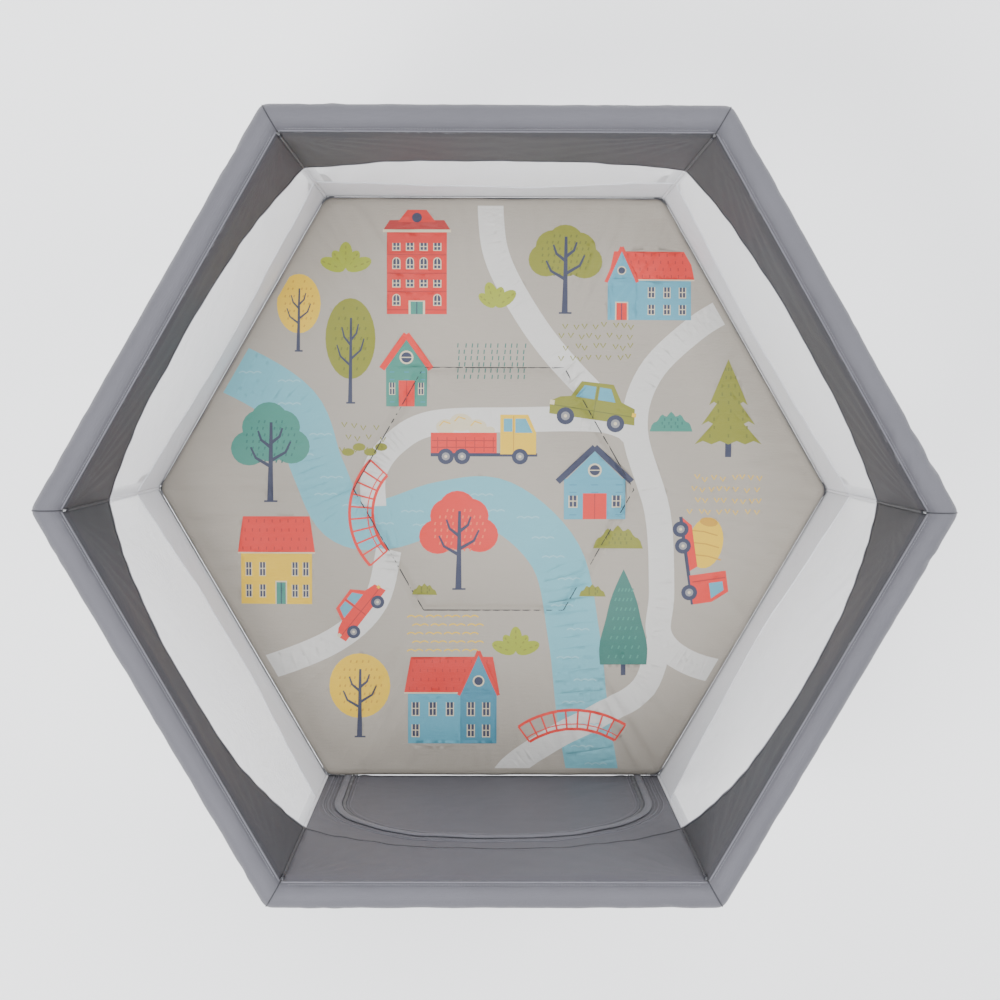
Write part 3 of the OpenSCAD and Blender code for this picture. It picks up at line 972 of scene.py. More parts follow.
def roundTree(x, base, tall, wide, leaf, fleck, lobes=1):
    crown = base + tall * 0.62
    if lobes == 1:
        disc(leaf, x, crown, wide / 2, tall * 0.39, 0, 28)
    else:
        spread = [(-0.29, -0.02), (0.28, 0.0), (-0.14, 0.2), (0.15, 0.2), (0.0, 0.02), (-0.02, 0.28)]
        if lobes == 3:
            spread = [(-0.27, 0.0), (0.27, -0.02), (0.0, 0.2), (-0.17, 0.14), (0.18, 0.12), (0.0, 0.0)]
        for u, v in spread:
            disc(leaf, x + u * wide, crown + (v - 0.05) * tall, wide * 0.25, wide * 0.24, 0, 20)
    flecks(fleck, x, crown, wide * 0.44, tall * (0.34 if lobes == 1 else 0.24), 7, tall * 0.03, 2.6, 0.7,
           wide * 0.035)
    stroke("navy", [(x - 1, base), (x, base + tall * 0.35), (x + 1, base + tall * 0.82)], wide * 0.085, 0.45)
    for side, low, reach, rise in ((-1, 0.36, 0.27, 0.20), (1, 0.42, 0.27, 0.20), (-1, 0.56, 0.17, 0.17),
                                   (1, 0.60, 0.16, 0.16)):
        stroke("navy", [(x, base + tall * low), (x + side * wide * reach * 0.75, base + tall * (low + rise * 0.45)),
                        (x + side * wide * reach, base + tall * (low + rise))], wide * 0.048, 0.5)
    stroke("navy", [(x - wide * 0.09, base), (x + wide * 0.09, base)], 3)


def bush(x, y, size, leaf, fleck, leaves=5):
    for k in range(leaves):
        turn = math.radians(90 + (k - (leaves - 1) / 2) * 34)
        reach = size * (0.46 + 0.1 * (k % 2 == 0))
        disc(leaf, x + math.cos(turn) * reach * 0.7, y + math.sin(turn) * reach * 0.8, reach * 0.66,
             reach * 0.34, turn, 16)
        for step in (0.45, 0.8, 1.1):
            stroke(fleck, [(x + math.cos(turn) * reach * step, y + math.sin(turn) * reach * step),
                           (x + math.cos(turn) * reach * (step + 0.16),
                            y + math.sin(turn) * reach * (step + 0.16))], 2.4)


def lowBush(x, y, wide, leaf, fleck):
    ring = [(x - wide / 2, y)]
    for k in range(21):
        u = k / 20
        rise = math.sin(math.pi * u) ** 0.6 * (1 + 0.13 * math.sin(9 * math.pi * u))
        ring.append((x + wide * (u - 0.5), y + wide * 0.42 * rise))
    area(leaf, ring[::-1])
    flecks(fleck, x, y + wide * 0.2, wide * 0.36, wide * 0.13, 3, 5, 2.4)


def pineTree(x, base, tall, wide, leaf, fleck):
    stroke("navy", [(x, base), (x, base + tall * 0.2)], wide * 0.09)
    for k, (low, high, half) in enumerate(((0.13, 0.52, 0.5), (0.33, 0.72, 0.4), (0.53, 1.0, 0.29))):
        ring = [(x, base + tall * high)]
        ring += [(x + wide * half, base + tall * low)]
        for m in range(1, 8):
            ring.append((x + wide * half * (1 - 2 * m / 8), base + tall * (low + (0.035 if m % 2 else 0.0))))
        ring += [(x - wide * half, base + tall * low)]
        area(leaf, ring[::-1])
    for k in range(9):
        v = 0.2 + 0.085 * k
        half = 0.34 * (1 - v) * wide
        for m in (-1, 0, 1):
            stroke(fleck, [(x + m * half + (k % 2) * 4, base + tall * v),
                           (x + m * half + (k % 2) * 4, base + tall * (v + 0.035))], 2.6)


def coneTree(x, base, tall, wide, leaf, fleck):
    stroke("navy", [(x, base), (x, base + tall * 0.2)], wide * 0.10)
    ring = [(x, base + tall)] + [(x - wide * (0.5 - 0.02 * math.cos(k)) * math.sin(math.pi / 2 * k / 12) ** 0.9,
                                  base + tall * (1 - 0.9 * k / 12)) for k in range(1, 13)]
    ring += [(2 * x - a, b) for a, b in ring[:0:-1]]
    area(leaf, ring)
    for k in range(8):
        v = 0.16 + 0.09 * k
        for m in range(-2, 3):
            u = m * wide * 0.17 * (1 - v * 0.75) + (k % 2) * 4
            stroke(fleck, [(x + u - 1.5, base + tall * v), (x + u + 1, base + tall * (v + 0.03))], 2.4)


def window(x, y, wide, tall, arch=False, glass="navy", frame="cream"):
    block(frame, x - wide / 2, y, x + wide / 2, y + tall)
    if arch:
        disc(frame, x, y + tall, wide / 2, wide / 2, 0, 14)
    e = wide * 0.12
    block(glass, x - wide / 2 + e, y + e, x + wide / 2 - e, y + tall)
    if arch:
        disc(glass, x, y + tall, wide / 2 - e, wide / 2 - e, 0, 14)
    stroke(frame, [(x, y), (x, y + tall + (wide / 2 if arch else 0))], 1.6)
    stroke(frame, [(x - wide / 2, y + tall * 0.55), (x + wide / 2, y + tall * 0.55)], 1.6)


def tiledRoof(points, ink, line, rows=4):
    area(ink, points)
    low, high = min(p[1] for p in points), max(p[1] for p in points)
    left, right = min(p[0] for p in points), max(p[0] for p in points)
    for r in range(rows):
        y = low + (high - low) * (r + 0.5) / rows
        inset = (right - left) * 0.07 * (r + 1) / rows
        count = int((right - left - 2 * inset) / 13)
        for k in range(count):
            x = left + inset + (right - left - 2 * inset) * (k + 0.5 + 0.25 * (r % 2)) / (count + 0.5)
            stroke(line, [(x, y - 2.8), (x, y + 2.8)], 1.8)


def cottage(x, base, wide, tall, wallInk, roofInk, doorInk, shade="rust"):
    eaves = base + tall * 0.56
    block(wallInk, x - wide * 0.44, base, x + wide * 0.44, eaves)
    for k in range(5):
        y = base + (eaves - base) * (k + 0.6) / 5.4
        for m in (-0.36, -0.05, 0.3):
            stroke("deepSky", [(x + wide * m, y), (x + wide * (m + 0.1), y)], 1.6)
    area(wallInk, [(x - wide * 0.40, eaves), (x + wide * 0.40, eaves), (x, base + tall * 0.94)])
    for side in (-1, 1):
        stroke(roofInk, [(x + side * wide * 0.53, eaves - tall * 0.04), (x, base + tall)], tall * 0.085)
    disc("cream", x, base + tall * 0.68, tall * 0.095)
    disc("navy", x, base + tall * 0.68, tall * 0.072)
    stroke("cream", [(x - tall * 0.08, base + tall * 0.68), (x + tall * 0.08, base + tall * 0.68)], 1.6)
    block(doorInk, x - wide * 0.17, base, x + wide * 0.17, base + tall * 0.36)
    stroke(shade, [(x, base), (x, base + tall * 0.36)], 1.6)
    for side in (-1, 1):
        window(x + side * wide * 0.31, base + tall * 0.16, wide * 0.13, tall * 0.17)


def tallHouse(x, base, wide, tall):
    top = base + tall * 0.8
    block("brick", x - wide * 0.44, base, x + wide * 0.44, top)
    area("rust", [(x - wide * 0.5, top), (x + wide * 0.5, top), (x + wide * 0.40, base + tall * 0.9),
                  (x - wide * 0.40, base + tall * 0.9)])
    area("brick", [(x - wide * 0.28, base + tall * 0.88), (x + wide * 0.28, base + tall * 0.88),
                   (x + wide * 0.14, base + tall),
                   (x - wide * 0.14, base + tall)])
    block("cream", x - wide * 0.5, top - 3, x + wide * 0.5, top + 2)
    disc("navy", x, base + tall * 0.925, wide * 0.075, None, 0, 12)
    for row in range(4):
        y = base + tall * (0.08 + 0.175 * row)
        stroke("rust", [(x - wide * 0.44, y - 7), (x + wide * 0.44, y - 7)], 1.8)
        for column in (-1.5, -0.5, 0.5, 1.5):
            if row == 0 and abs(column) < 1:
                continue
            window(x + column * wide * 0.2, y, wide * 0.12, tall * 0.075, arch=row in (0, 2))
    block("cream", x - wide * 0.12, base, x + wide * 0.12, base + tall * 0.13)
    block("teal", x - wide * 0.09, base, x + wide * 0.09, base + tall * 0.12)
    stroke("navy", [(x, base), (x, base + tall * 0.12)], 1.6)


def longHouse(x, base, wide, tall, wallInk, roofInk, doorAt=0.0, doorInk="teal", gable=None,
              windowsAt=(-0.36, -0.2, 0.2, 0.36)):
    eaves = base + tall * 0.55
    block(wallInk, x - wide * 0.46, base, x + wide * 0.46, eaves)
    tiledRoof([(x - wide * 0.5, eaves), (x + wide * 0.5, eaves), (x + wide * 0.43, base + tall * 0.94),
               (x - wide * 0.43, base + tall * 0.94)], roofInk, "rust")
    stroke("cream", [(x - wide * 0.5, eaves), (x + wide * 0.5, eaves)], 2.4)
    if gable:
        at, half, gableInk = gable
        block(gableInk, x + wide * (at - half), base, x + wide * (at + half), eaves)
        area(gableInk, [(x + wide * (at - half), eaves), (x + wide * (at + half), eaves),
                        (x + wide * at, base + tall * 0.98)])
        for side in (-1, 1):
            stroke(roofInk, [(x + wide * (at + side * (half + 0.02)), eaves - 4), (x + wide * at, base + tall)], 6)
        disc("cream", x + wide * at, base + tall * 0.68, tall * 0.062, None, 0, 14)
        disc("navy", x + wide * at, base + tall * 0.68, tall * 0.046, None, 0, 14)
    for at in windowsAt:
        window(x + wide * at, base + tall * 0.30, wide * 0.085, tall * 0.15)
        if abs(at - doorAt) > 0.12:
            window(x + wide * at, base + tall * 0.07, wide * 0.085, tall * 0.14)
    if doorInk:
        block("cream", x + wide * (doorAt - 0.075), base, x + wide * (doorAt + 0.075), base + tall * 0.25)
        block(doorInk, x + wide * (doorAt - 0.06), base, x + wide * (doorAt + 0.06), base + tall * 0.235)
        stroke("navy", [(x + wide * doorAt, base), (x + wide * doorAt, base + tall * 0.235)], 1.6)


def wheel(x, y, radius):
    disc("navy", x, y, radius, None, 0, 18)
    disc("grey", x, y, radius * 0.5, None, 0, 12)
    disc("cream", x, y, radius * 0.2, None, 0, 8)


def truck():
    block("navy", -92, 10, 92, 16)
    block("coral", -92, 16, 22, 50)
    for y in (26, 38):
        stroke("rust", [(-90, y), (20, y)], 1.8)
    for x in range(-80, 20, 16):
        stroke("rust", [(x, 18), (x, 48)], 1.6)
    for u, v, r in ((-66, 62, 17), (-40, 70, 20), (-12, 62, 17), (10, 56, 9)):
        disc("cream", u, v, r, r * 0.8)
    for u, v in ((-66, 62), (-40, 70), (-12, 62)):
        stroke("mustard", [(u - 11, v + 2), (u - 4, v + 10), (u + 8, v + 6)], 2)
    block("coral", -92, 44, 22, 52)
    area("mustard", [(28, 14), (90, 14), (90, 52), (76, 84), (28, 84)])
    area("sky", [(54, 52), (84, 52), (72, 77), (54, 77)])
    block("sky", 34, 54, 49, 77)
    stroke("amber", [(51, 18), (51, 82)], 1.8)
    for x in (-66, -38, 62):
        wheel(x, 10, 14)


def car(body, shade):
    area(body, [(-72, 12), (-74, 34), (-58, 44), (-40, 48), (-26, 76), (28, 78), (46, 50), (70, 42), (74, 14)])
    area("sky", [(-32, 48), (-20, 70), (0, 70), (0, 48)])
    area("sky", [(6, 48), (6, 70), (25, 70), (36, 48)])
    stroke(shade, [(3, 16), (3, 72)], 2)
    stroke(shade, [(-70, 28), (72, 28)], 2)
    block("cream", -74, 28, -66, 36)
    block("mustard", 67, 28, 74, 35)
    for x in (-44, 42):
        wheel(x, 12, 15)


def mixer():
    block("navy", -78, 10, 80, 16)
    area("coral", [(28, 14), (80, 14), (80, 46), (66, 78), (28, 78)])
    area("sky", [(46, 46), (74, 46), (62, 70), (46, 70)])
    stroke("rust", [(40, 18), (40, 76)], 2)
    disc("mustard", -26, 50, 46, 30, math.radians(-18), 24)
    disc("amber", -62, 60, 8, 16, math.radians(-18), 14)
    for k in (-22, 0, 22):
        stroke("amber", [(-30 + k, 26), (-24 + k, 50), (-14 + k, 72)], 2.4)
    area("coral", [(-76, 16), (20, 16), (14, 30), (-60, 30)])
    for x in (-56, -26, 58):
        wheel(x, 10, 14)


def bridge(x, y, radius, start, stop, wide, ink="coral", rails=9):
    for reach, width in ((radius - wide / 2, 5), (radius + wide / 2, 5), (radius - wide / 2 + 9, 2)):
        stroke(ink, [(x + reach * math.cos(start + (stop - start) * k / 16),
                      y + reach * math.sin(start + (stop - start) * k / 16))
                     for k in range(17)], width)
    for k in range(rails + 1):
        turn = start + (stop - start) * k / rails
        stroke(ink, [(x + (radius - wide / 2) * math.cos(turn), y + (radius - wide / 2) * math.sin(turn)),
                     (x + (radius + wide / 2) * math.cos(turn), y + (radius + wide / 2) * math.sin(turn))], 3)


def vees(x0, x1, y0, y1, across, rows, ink):
    for row in range(rows):
        for k in range(across):
            x = x0 + (x1 - x0) * (k + 0.5 * (row % 2)) / across + dice.uniform(-4, 4)
            y = y0 + (y1 - y0) * row / max(rows - 1, 1) + dice.uniform(-3, 3)
            stroke(ink, [(x - 4.5, y + 4), (x, y - 4), (x + 4.5, y + 4)], 2)


def waves(points, ink, humps=3, size=13):
    for x, y in points:
        line = [(x + size * k / 4, y + size * 0.22 * abs(math.sin(math.pi * k / 4))) for k in range(4 * humps + 1)]
        stroke(ink, line, 2.2)


dice = random.Random(11)
river = smoothPath([(-560, 240), (-463, 218), (-345, 145), (-305, 40), (-262, -48), (-188, -62), (-88, -30),
                    (12, -28), (108, -118),
                    (140, -260), (156, -400), (180, -540)])
stroke("water", river, 90)
for path in ([(-4, 560), (-6, 480), (8, 400), (62, 300), (128, 215), (240, 100)],
             [(420, 330), (346, 285), (268, 205), (244, 105), (284, -40), (292, -180), (290, -262), (350, -312),
              (470, -340)],
             [(290, -262), (262, -352), (180, -405), (110, -442), (30, -500), (0, -560)],
             [(-208, -30), (-207, 30), (-172, 82), (-104, 118), (40, 124), (186, 124), (248, 100)],
             [(-520, -355), (-405, -323), (-275, -268), (-205, -200), (-182, -108)]):
    stroke("road", smoothPath(path), 44)
waves([(-440, 205), (-372, 190), (-372, 150), (-318, 96), (-350, 60), (-300, 20), (-310, -10), (-262, -30),
       (-212, -62), (-160, -40),
       (-140, -64), (-40, -10), (-20, -38), (40, -50), (66, -86), (84, -120), (112, -160), (100, -208), (128, -250),
       (110, -300), (140, -340), (120, -380), (150, -420), (136, -460), (160, -492)], "ripple")
tallHouse(-133, 309, 117, 183)
bush(-255, 385, 62, "lime", "olive")
roundTree(-336, 244, 134, 76, "mustard", "amber")
roundTree(-247, 153, 182, 86, "olive", "moss")
cottage(-151, 147, 80, 127, "teal", "coral", "coral")
roundTree(-385, -21, 170, 127, "teal", "deepTeal", 6)
longHouse(-376, -204, 134, 166, "mustard", "coral", 0.06, "teal", None, (-0.36, -0.18, 0.24, 0.38))
vees(-262, -184, 70, 112, 4, 3, "olive")
for k in range(4):
    disc("olive", -252 + 19 * k, 66 + 9 * (k % 2), 11, 7, 0, 12)
placed(-17, 49, 0.0, 1.0, truck)
for row in range(6):
    for k in range(11):
        x, y = -62 + 11.4 * k + dice.uniform(-2, 2), 200 + 11 * row
        stroke("deepTeal", [(x, y - 4), (x + 0.8, y + 3.5)], 2)
placed(166, 112, math.radians(-9), 1.02, lambda: car("olive", "moss"))
roundTree(122, 312, 163, 122, "olive", "moss", 3)
longHouse(270, 300, 150, 128, "sky", "coral", -0.34, "coral", (-0.34, 0.16, "sky"), (0.0, 0.18, 0.36))
vees(118, 246, 234, 290, 8, 4, "olive")
vees(343, 470, -40, 22, 8, 4, "mustard")
bush(2, 320, 58, "lime", "olive", 4)
pineTree(405, 59, 173, 117, "olive", "moss")
lowBush(306, 104, 74, "teal", "deepTeal")
cottage(175, -52, 122, 128, "sky", "navy", "coral")
roundTree(-60, -177, 170, 128, "coral", "pink", 6)
bridge(-110, -42, 120, math.radians(138), math.radians(222), 40)
placed(-214, -232, math.radians(52), 0.78, lambda: car("coral", "rust"))
placed(322, -126, math.radians(-82), 1.0, mixer)
lowBush(216, -104, 86, "olive", "moss")
lowBush(172, -190, 46, "olive", "moss")
lowBush(-120, -188, 44, "olive", "moss")
coneTree(226, -330, 189, 84, "deepTeal", "teal")
bush(39, -292, 58, "lime", "olive")
waves([(-150 + 32 * (k % 4) + 9 * (k // 4 % 2), -288 + 15 * (k // 4)) for k in range(20)], "mustard", 2, 14)
roundTree(-232, -442, 149, 106, "mustard", "amber")
longHouse(-72, -454, 166, 166, "sky", "brick", -0.1, None, (0.28, 0.19, "deepSky"), (-0.38, -0.2, -0.02, 0.2, 0.36))
bridge(140, -560, 150, math.radians(57), math.radians(125), 34)
print("stage: picture,", len(shapes), "areas")


# padded mat

mat = {"inset": 0.0035, "corner": 0.022, "step": 0.0062, "edge": 0.0135, "seam": 0.240, "seamDeep": 0.0034,
       "seamWide": 0.0042, "crown": 0.0042, "fold": 0.0054, "keep": 0.30, "fill": 0.55, "across": 0.000985,
       "deep": 0.000962,
       "voxel": 0.0075, "pressure": 4.0, "frames": 20, "cap": 0.008, "shrink": 0.0035,
       "pucker": 0.0008, "crease": 0.0022, "tug": 0.0013, "soft": 0.0016, "stitchPitch": 0.0040,
       "stitch": (0.0029, 0.0009, 0.0008),
       "button": (0.067, 0.063, 0.058, 0.030), "hollow": (0.0, 0.005, 0.0115, 0.0130)}
matApothem = sideOut + wallOffset - 0.001 - mat["inset"]


def hexDepth(x, y):  # distance inward from the mat's outer edge, before its corners are rounded
    return min(matApothem - (sideAxes(i)[0].x * x + sideAxes(i)[0].y * y) for i in sides)


def roundedHexagon(inset, count=14):
    apothem, radius = matApothem - inset, max(mat["corner"] - inset, 0.004)
    ring = []
    for i in sides:
        corner = postTurn(i)
        reach = (apothem - radius) / cos30
        centre = (reach * math.cos(corner), reach * math.sin(corner))
        for k in range(count + 1):
            turn = corner + math.radians(-30 + 60 * k / count)
            ring.append((centre[0] + radius * math.cos(turn), centre[1] + radius * math.sin(turn)))
    return ring


def evenRing(ring, spacing):
    closed = ring + [ring[0]]
    line = []
    for a, b in zip(closed, closed[1:]):
        pieces = max(int(math.hypot(b[0] - a[0], b[1] - a[1]) / spacing), 1)
        line += [(a[0] + (b[0] - a[0]) * k / pieces, a[1] + (b[1] - a[1]) * k / pieces) for k in range(pieces)]
    return line


def seamDistance(x, y):  # from the inner stitched hexagon
    apothem = mat["seam"] * cos30
    return apothem - max(sideAxes(i)[0].x * x + sideAxes(i)[0].y * y for i in sides)


def matRelief(x, y):  # creases that the stuffing and the stitching pull into the cover
    near = seamDistance(x, y)
    groove = -mat["seamDeep"] * math.exp(-(near / mat["seamWide"]) ** 2)
    turn = math.atan2(y, x)
    reach = math.hypot(x, y)
    pucker = math.sin(turn * 74 + 3 * ripple(x, y, 3, 6)) * mat["pucker"] * math.exp(-abs(near) / 0.016)
    corner = math.cos(3 * turn) ** 2  # strongest toward the posts
    outer = fade(reach, 0.25, 0.42)
    radial = (1 - abs(ripple(math.cos(turn) * 1.6, math.sin(turn) * 1.6, reach * 0.25, 9))) ** 6
    folds = mat["fold"] * (radial - 0.35) * outer * (0.35 + 0.65 * corner ** 2)
    line = math.sin(3 * turn) if corner > 0.5 else 1
    rim = hexDepth(x, y)
    folds -= mat["crease"] * math.exp(-(line * reach / 0.010) ** 2) * corner * fade(reach, 0.24,
                                                                                    0.32) * fade(rim, 0, 0.05)
    tug = mat["tug"] * math.sin(turn * 120 + 4 * ripple(x, y, 9, 5)) * math.exp(-rim / 0.022)
    soft = mat["soft"] * ripple(x, y, 1, 5) + 0.0007 * ripple(x, y, 2, 15)
    return groove + (pucker + folds + tug + soft) * (1 - math.exp(-(near / 0.002) ** 2))


def stuffedSlab():  # the filled cover, swelled by simulation; its top gives the mat's broad shape
    slab = bpy.data.meshes.new("slab")
    work = bmesh.new()
    ring = evenRing(roundedHexagon(mat["shrink"]), 0.02)
    low = [work.verts.new((x, y, matBottom + 0.002)) for x, y in ring]
    high = [work.verts.new((x, y, matTop - 0.007)) for x, y in ring]
    work.faces.new(low[::-1])
    work.faces.new(high)
    for k in range(len(ring)):
        work.faces.new((low[k], low[(k + 1) % len(ring)], high[(k + 1) % len(ring)], high[k]))
    work.to_mesh(slab)
    work.free()
    body = bpy.data.objects.new("slab", slab)
    bpy.context.scene.collection.objects.link(body)
    remesh = body.modifiers.new("even", "REMESH")
    remesh.mode = "VOXEL"
    remesh.voxel_size = mat["voxel"]
    applyModifiers(body)
    rest = np.zeros(len(body.data.vertices) * 3)
    body.data.vertices.foreach_get("co", rest)
    rest = rest.reshape(-1, 3)
    held = body.vertex_groups.new(name="held")
    middle = (matBottom + matTop) / 2
    for k, (x, y, z) in enumerate(rest):
        near = abs(seamDistance(x, y))
        if z < middle or near < 0.006 or hexDepth(x, y) < 0.012:
            held.add([k], 1.0, "REPLACE")
            if z > middle and near < 0.006:
                body.data.vertices[k].co.z -= 0.004
    swell = body.modifiers.new("swell", "CLOTH")
    swell.settings.use_pressure = True
    swell.settings.uniform_pressure_force = mat["pressure"]
    swell.settings.quality = 5
    swell.settings.tension_stiffness = 12
    swell.settings.compression_stiffness = 12
    swell.settings.bending_stiffness = 0.3
    swell.settings.vertex_group_mass = "held"
    swell.settings.effector_weights.gravity = 0
    swell.collision_settings.use_self_collision = False
    swell.point_cache.frame_start, swell.point_cache.frame_end = 1, mat["frames"]
    for step in range(1, mat["frames"] + 1):
        bpy.context.scene.frame_set(step)
    ready = body.evaluated_get(bpy.context.evaluated_depsgraph_get())
    moved = np.zeros(len(rest) * 3)
    ready.data.vertices.foreach_get("co", moved)
    moved = moved.reshape(-1, 3)
    shift = moved - rest
    far = np.linalg.norm(shift, axis=1)
    moved = rest + shift * np.minimum(1, mat["cap"] / np.maximum(far, 1e-9))[:, None]
    faces = [tuple(p.vertices) for p in body.data.polygons]
    bpy.context.scene.frame_set(1)
    bpy.data.objects.remove(body)
    print("stage: mat filled, mean swell", round(float(far.mean()) * 1000, 2), "mm")
    return BVHTree.FromPolygons([tuple(p) for p in moved], faces)


def matCrown(x, y):  # the same broad shape without the simulation
    near = seamDistance(x, y)
    inner = fade(abs(near), 0, 0.06)
    return matTop - 0.007 + mat["crown"] * inner * fade(hexDepth(x, y), 0, 0.07)


slabTree = stuffedSlab()


def matHeight(x, y):
    if slabTree:
        hit = slabTree.ray_cast(Vector((x, y, matTop + 0.1)), Vector((0, 0, -1)))[0]
        broad = hit.z if hit else matTop - 0.008
    else:
        broad = matCrown(x, y)
    depth = hexDepth(x, y)
    return min(broad + matRelief(x, y) * fade(depth, 0.006, 0.03), matTop + 0.0035)


def pictureMesh():  # flat triangles that follow the picture's outlines, with the ink of each
    outline = evenRing(roundedHexagon(mat["edge"]), mat["step"])
    points = [Vector(p) for p in outline]
    faces = [list(range(len(outline)))]
    inkOf = ["ground"]
    for ink, ring in shapes:
        ring = [(x * mat["across"], y * mat["deep"]) for x, y in ring]
        if any(math.hypot(*p) > postRadius for p in ring):
            continue
        turned = sum(a[0] * b[1] - b[0] * a[1] for a, b in zip(ring, ring[1:] + ring[:1]))
        if abs(turned) < 1e-9:
            continue
        if turned < 0:
            ring = ring[::-1]
        faces.append(list(range(len(points), len(points) + len(ring))))
        points += [Vector(p) for p in ring]
        inkOf.append(ink)
    rows = int(2 * postRadius / mat["step"])
    ends = np.array([tuple(p) for p in points[:len(outline)]])
    for row in range(rows):
        for column in range(rows):
            x = -postRadius + (column + 0.5 * (row % 2)) * mat["step"]
            y = -postRadius + (row + 0.5) * mat["step"]
            if hexDepth(x, y) > mat["edge"] + 0.003 and \
                    np.min(np.hypot(ends[:, 0] - x, ends[:, 1] - y)) > mat["step"] * 0.5:
                points.append(Vector((x, y)))
    verts, _, tris, _, _, origin = geometry.delaunay_2d_cdt(points, [], faces, 0, 1e-5, True)
    keep = [(t, o) for t, o in zip(tris, origin) if 0 in o]
    used = sorted({v for t, _ in keep for v in t})
    place = {v: k for k, v in enumerate(used)}
    return ([tuple(verts[v]) for v in used], [tuple(place[v] for v in t) for t, _ in keep],
            [inkOf[max(o)] for _, o in keep])


def boundaryLoop(faces):
    halves = {(f[k], f[(k + 1) % len(f)]) for f in faces for k in range(len(f))}
    ahead = {a: b for a, b in halves if (b, a) not in halves}
    loop = [min(ahead)]
    while ahead[loop[-1]] != loop[0]:
        loop.append(ahead[loop[-1]])
    return loop


def printedCloth(name, rough):
    material, tree, shader = shaderBase(name, rough, inks["ground"])
    shader.inputs["Sheen Weight"].default_value = 0.05
    shader.inputs["Sheen Roughness"].default_value = 0.4
    shader.inputs["Specular IOR Level"].default_value = 0.4
    place = nodeOf(tree, "ShaderNodeTexCoord", -1200, 0).outputs["UV"]
    ink = nodeOf(tree, "ShaderNodeAttribute", -900, 300, attribute_name="ink").outputs["Color"]
    weave = mathNode(tree, "MULTIPLY", threads(tree, place, 0.0005, "X"), threads(tree, place, 0.0005, "Y"))
    clouds = scaledNoise(tree, place, 6, 4)
    worn = mixColour(tree, mathNode(tree, "MULTIPLY", clouds, 0.10), ink, (0.50, 0.48, 0.46))
    shade = mixColour(tree, mathNode(tree, "MULTIPLY", weave, 0.10), worn, (0.30, 0.29, 0.28))
    tree.links.new(shade, shader.inputs["Base Color"])
    slubs = scaledNoise(tree, place, 45, 3, (1, 5, 1))
    height = mathNode(tree, "ADD", mathNode(tree, "MULTIPLY", weave, 0.25), slubs)
    addBump(tree, shader, height, weaveDepth)
    return material


def rideMat(piece):
    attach(piece, "mat_pad")
    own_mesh(piece)


matCloth = printedCloth("matCloth", 0.44)
matBack = wovenCloth("matBack", (0.20, 0.20, 0.21), 0.6, pitch=0.0009)
flatPoints, topFaces, topInk = pictureMesh()
points = [Vector((x, y, matHeight(x, y))) for x, y in flatPoints]
loop = boundaryLoop(topFaces)
faces, faceInk, faceKind = list(topFaces), list(topInk), [0] * len(topFaces)
rings = [loop]
turns = 7
for k in range(1, turns + 1):  # round the upper edge over, down the side, and under
    turn = math.pi * k / turns
    ring = []
    for v in loop:
        x, y, z = points[v]
        out = Vector((x, y, 0))
        side = max(sides, key=lambda i: sideAxes(i)[0].dot(out))
        corner = min(sides, key=lambda i: (postPoint(i, postRadius, 0) - out).length)
        apothem, radius = matApothem - mat["edge"], max(mat["corner"] - mat["edge"], 0.004)
        centre = postPoint(corner, (apothem - radius) / cos30, 0)
        away = out - centre
        axis = postPoint(corner, 1, 0)
        if away.length > 1e-6 and math.degrees(away.angle(axis)) < 30.5 and abs(away.length - radius) < 0.002:
            outward = away.normalized()
        else:
            outward = sideAxes(side)[0]
        bulge = mat["edge"] * math.sin(turn) ** 0.7 if k < turns else 0.0
        wave = 1 + 0.10 * ripple(x, y, 0.4, 24)
        height = matBottom + (z - matBottom) * (1 + math.cos(turn)) / 2
        ring.append(len(points))
        points.append(out + outward * bulge * wave + Vector((0, 0, height)))
    rings.append(ring)
underside = len(rings)
for radius, height in zip(mat["button"], mat["hollow"]):  # a hollow above the hub's release knob and strap
    ring = []
    for v in loop:
        ring.append(len(points))
        points.append(points[v].to_2d().normalized().to_3d() * radius + Vector((0, 0, matBottom + height)))
    rings.append(ring)
for a, b in zip(rings, rings[1:]):
    for k in range(len(a)):
        faces.append((a[k], b[k], b[(k + 1) % len(b)], a[(k + 1) % len(a)]))
        faceInk.append("ground")
        faceKind.append(0 if b in rings[:underside - 1] else 1)
faces.append(tuple(rings[-1][::-1]))
faceInk.append("ground")
faceKind.append(1)
piece = newPiece("matPad", points, faces, [matCloth, matBack], uv=[(p.x, p.y) for p in points], faceMaterial=faceKind)
if piece.data.polygons[0].normal.z < 0:
    piece.data.flip_normals()
layer = piece.data.color_attributes.new("ink", "FLOAT_COLOR", "CORNER")
loopInk = [inks[ink] for f, ink in zip(piece.data.polygons, faceInk) for _ in range(f.loop_total)]
layer.data.foreach_set("color", np.array([(*c, 1.0) for c in loopInk], np.float32).ravel())
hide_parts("mat")
rideMat(piece)
print("stage: mat,", len(faces), "faces")

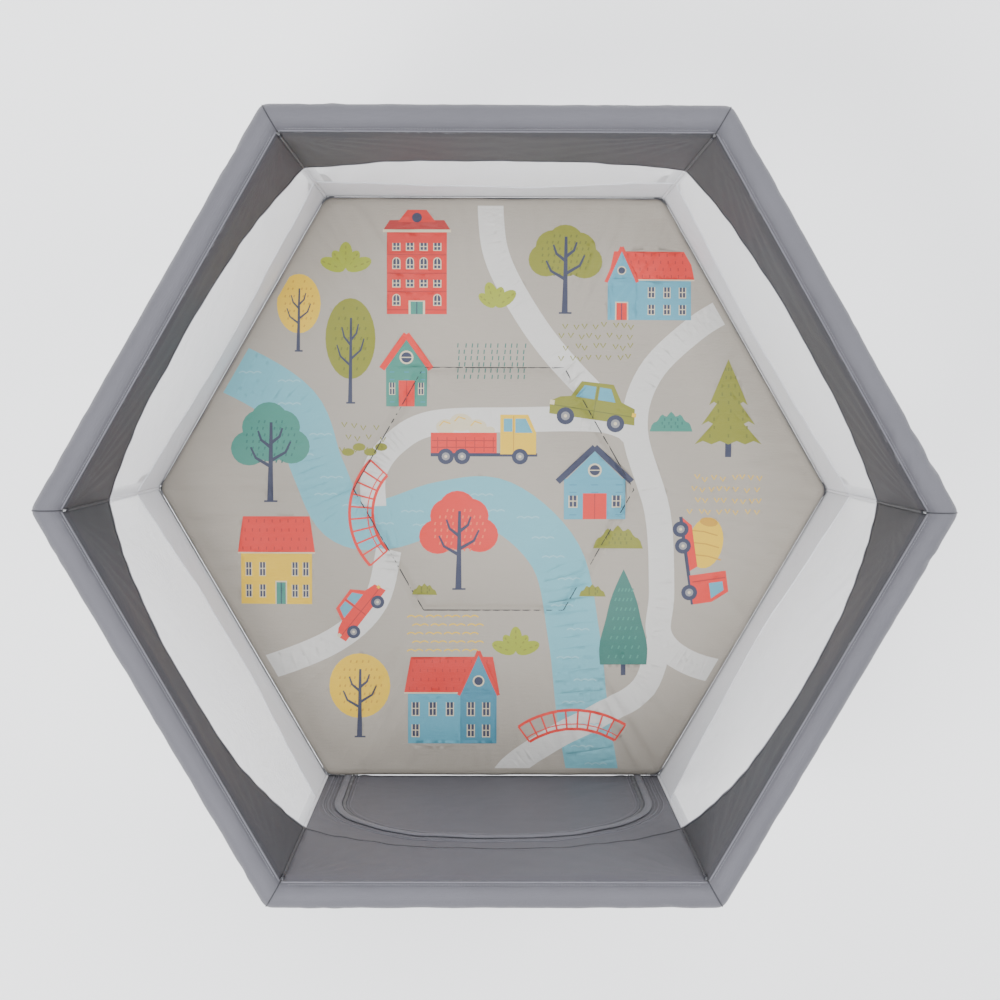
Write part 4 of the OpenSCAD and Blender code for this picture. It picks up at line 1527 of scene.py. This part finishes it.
seamRing = evenRing([(mat["seam"] * math.cos(math.radians(60 * k)), mat["seam"] * math.sin(math.radians(60 * k)))
                     for k in range(6)], 0.004)
seamLine = [Vector((x, y, matHeight(x, y) + 0.0008)) for x, y in seamRing + seamRing[:1]]
seam = tubeAlong("matSeam", seamLine, 0.0009, seamCloth, Vector((0, 0, 1)), 0.6, 6)
rideMat(seam)
stitches = repeatAlong("matStitches", "stitch", [seamLine], mat["stitchPitch"], mat["stitch"],
                       (0, 0, 1), seamCloth)
rideMat(stitches)
print("stage: mat stitches")


# the floor it stands on, light and camera

studio = {"half": 14, "floor": (0.94, 0.94, 0.94), "floorRough": 0.75, "world": 1.45,
          "lights": {"keyLight": ((-1.6, -1.2, 3.4), (0, 0, 0.2), 1.8, 165),  # place, target, size, power
                     "fillLight": ((2.2, 0.6, 3.0), (0, 0, 0.3), 2.2, 90),
                     "backLight": ((-0.4, 2.8, 2.6), (0, 0, 0.4), 1.8, 56)}}

base = newPiece("studioFloor", [Vector((x * studio["half"], y * studio["half"], 0)) for x, y in
                                ((-1, -1), (1, -1), (1, 1), (-1, 1))],
                [(0, 1, 2, 3)], [], flat=True)
base.data.materials.append(plainFinish("studioFloorPaint", studio["floor"], studio["floorRough"]))


def softLight(name, place, target, size, power):
    light = bpy.data.lights.new(name, "AREA")
    light.shape = "DISK"
    light.size = size
    light.energy = power
    lamp = bpy.data.objects.new(name, light)
    lamp.location = place
    lamp.rotation_euler = (Vector(target) - Vector(place)).to_track_quat("-Z", "Y").to_euler()
    bpy.context.collection.objects.link(lamp)


for lampName, setting in studio["lights"].items():
    softLight(lampName, *setting)

world = bpy.data.worlds.new("studioAir")
bpy.context.scene.world = world
world.use_nodes = True
world.node_tree.nodes["Background"].inputs["Color"].default_value = (0.93, 0.95, 1.0, 1)
world.node_tree.nodes["Background"].inputs["Strength"].default_value = studio["world"]

view = {"place": (-0.012, 0.135, 2.842), "turn": (-3.15, -0.46, 0.17), "lens": 58.6}
lens = bpy.data.cameras.new("viewCamera")
lens.lens = view["lens"]
lens.sensor_width = 36
camera = bpy.data.objects.new("viewCamera", lens)
camera.location = view["place"]
camera.rotation_euler = [math.radians(a) for a in view["turn"]]
bpy.context.collection.objects.link(camera)
bpy.context.scene.camera = camera

print("stage: studio")
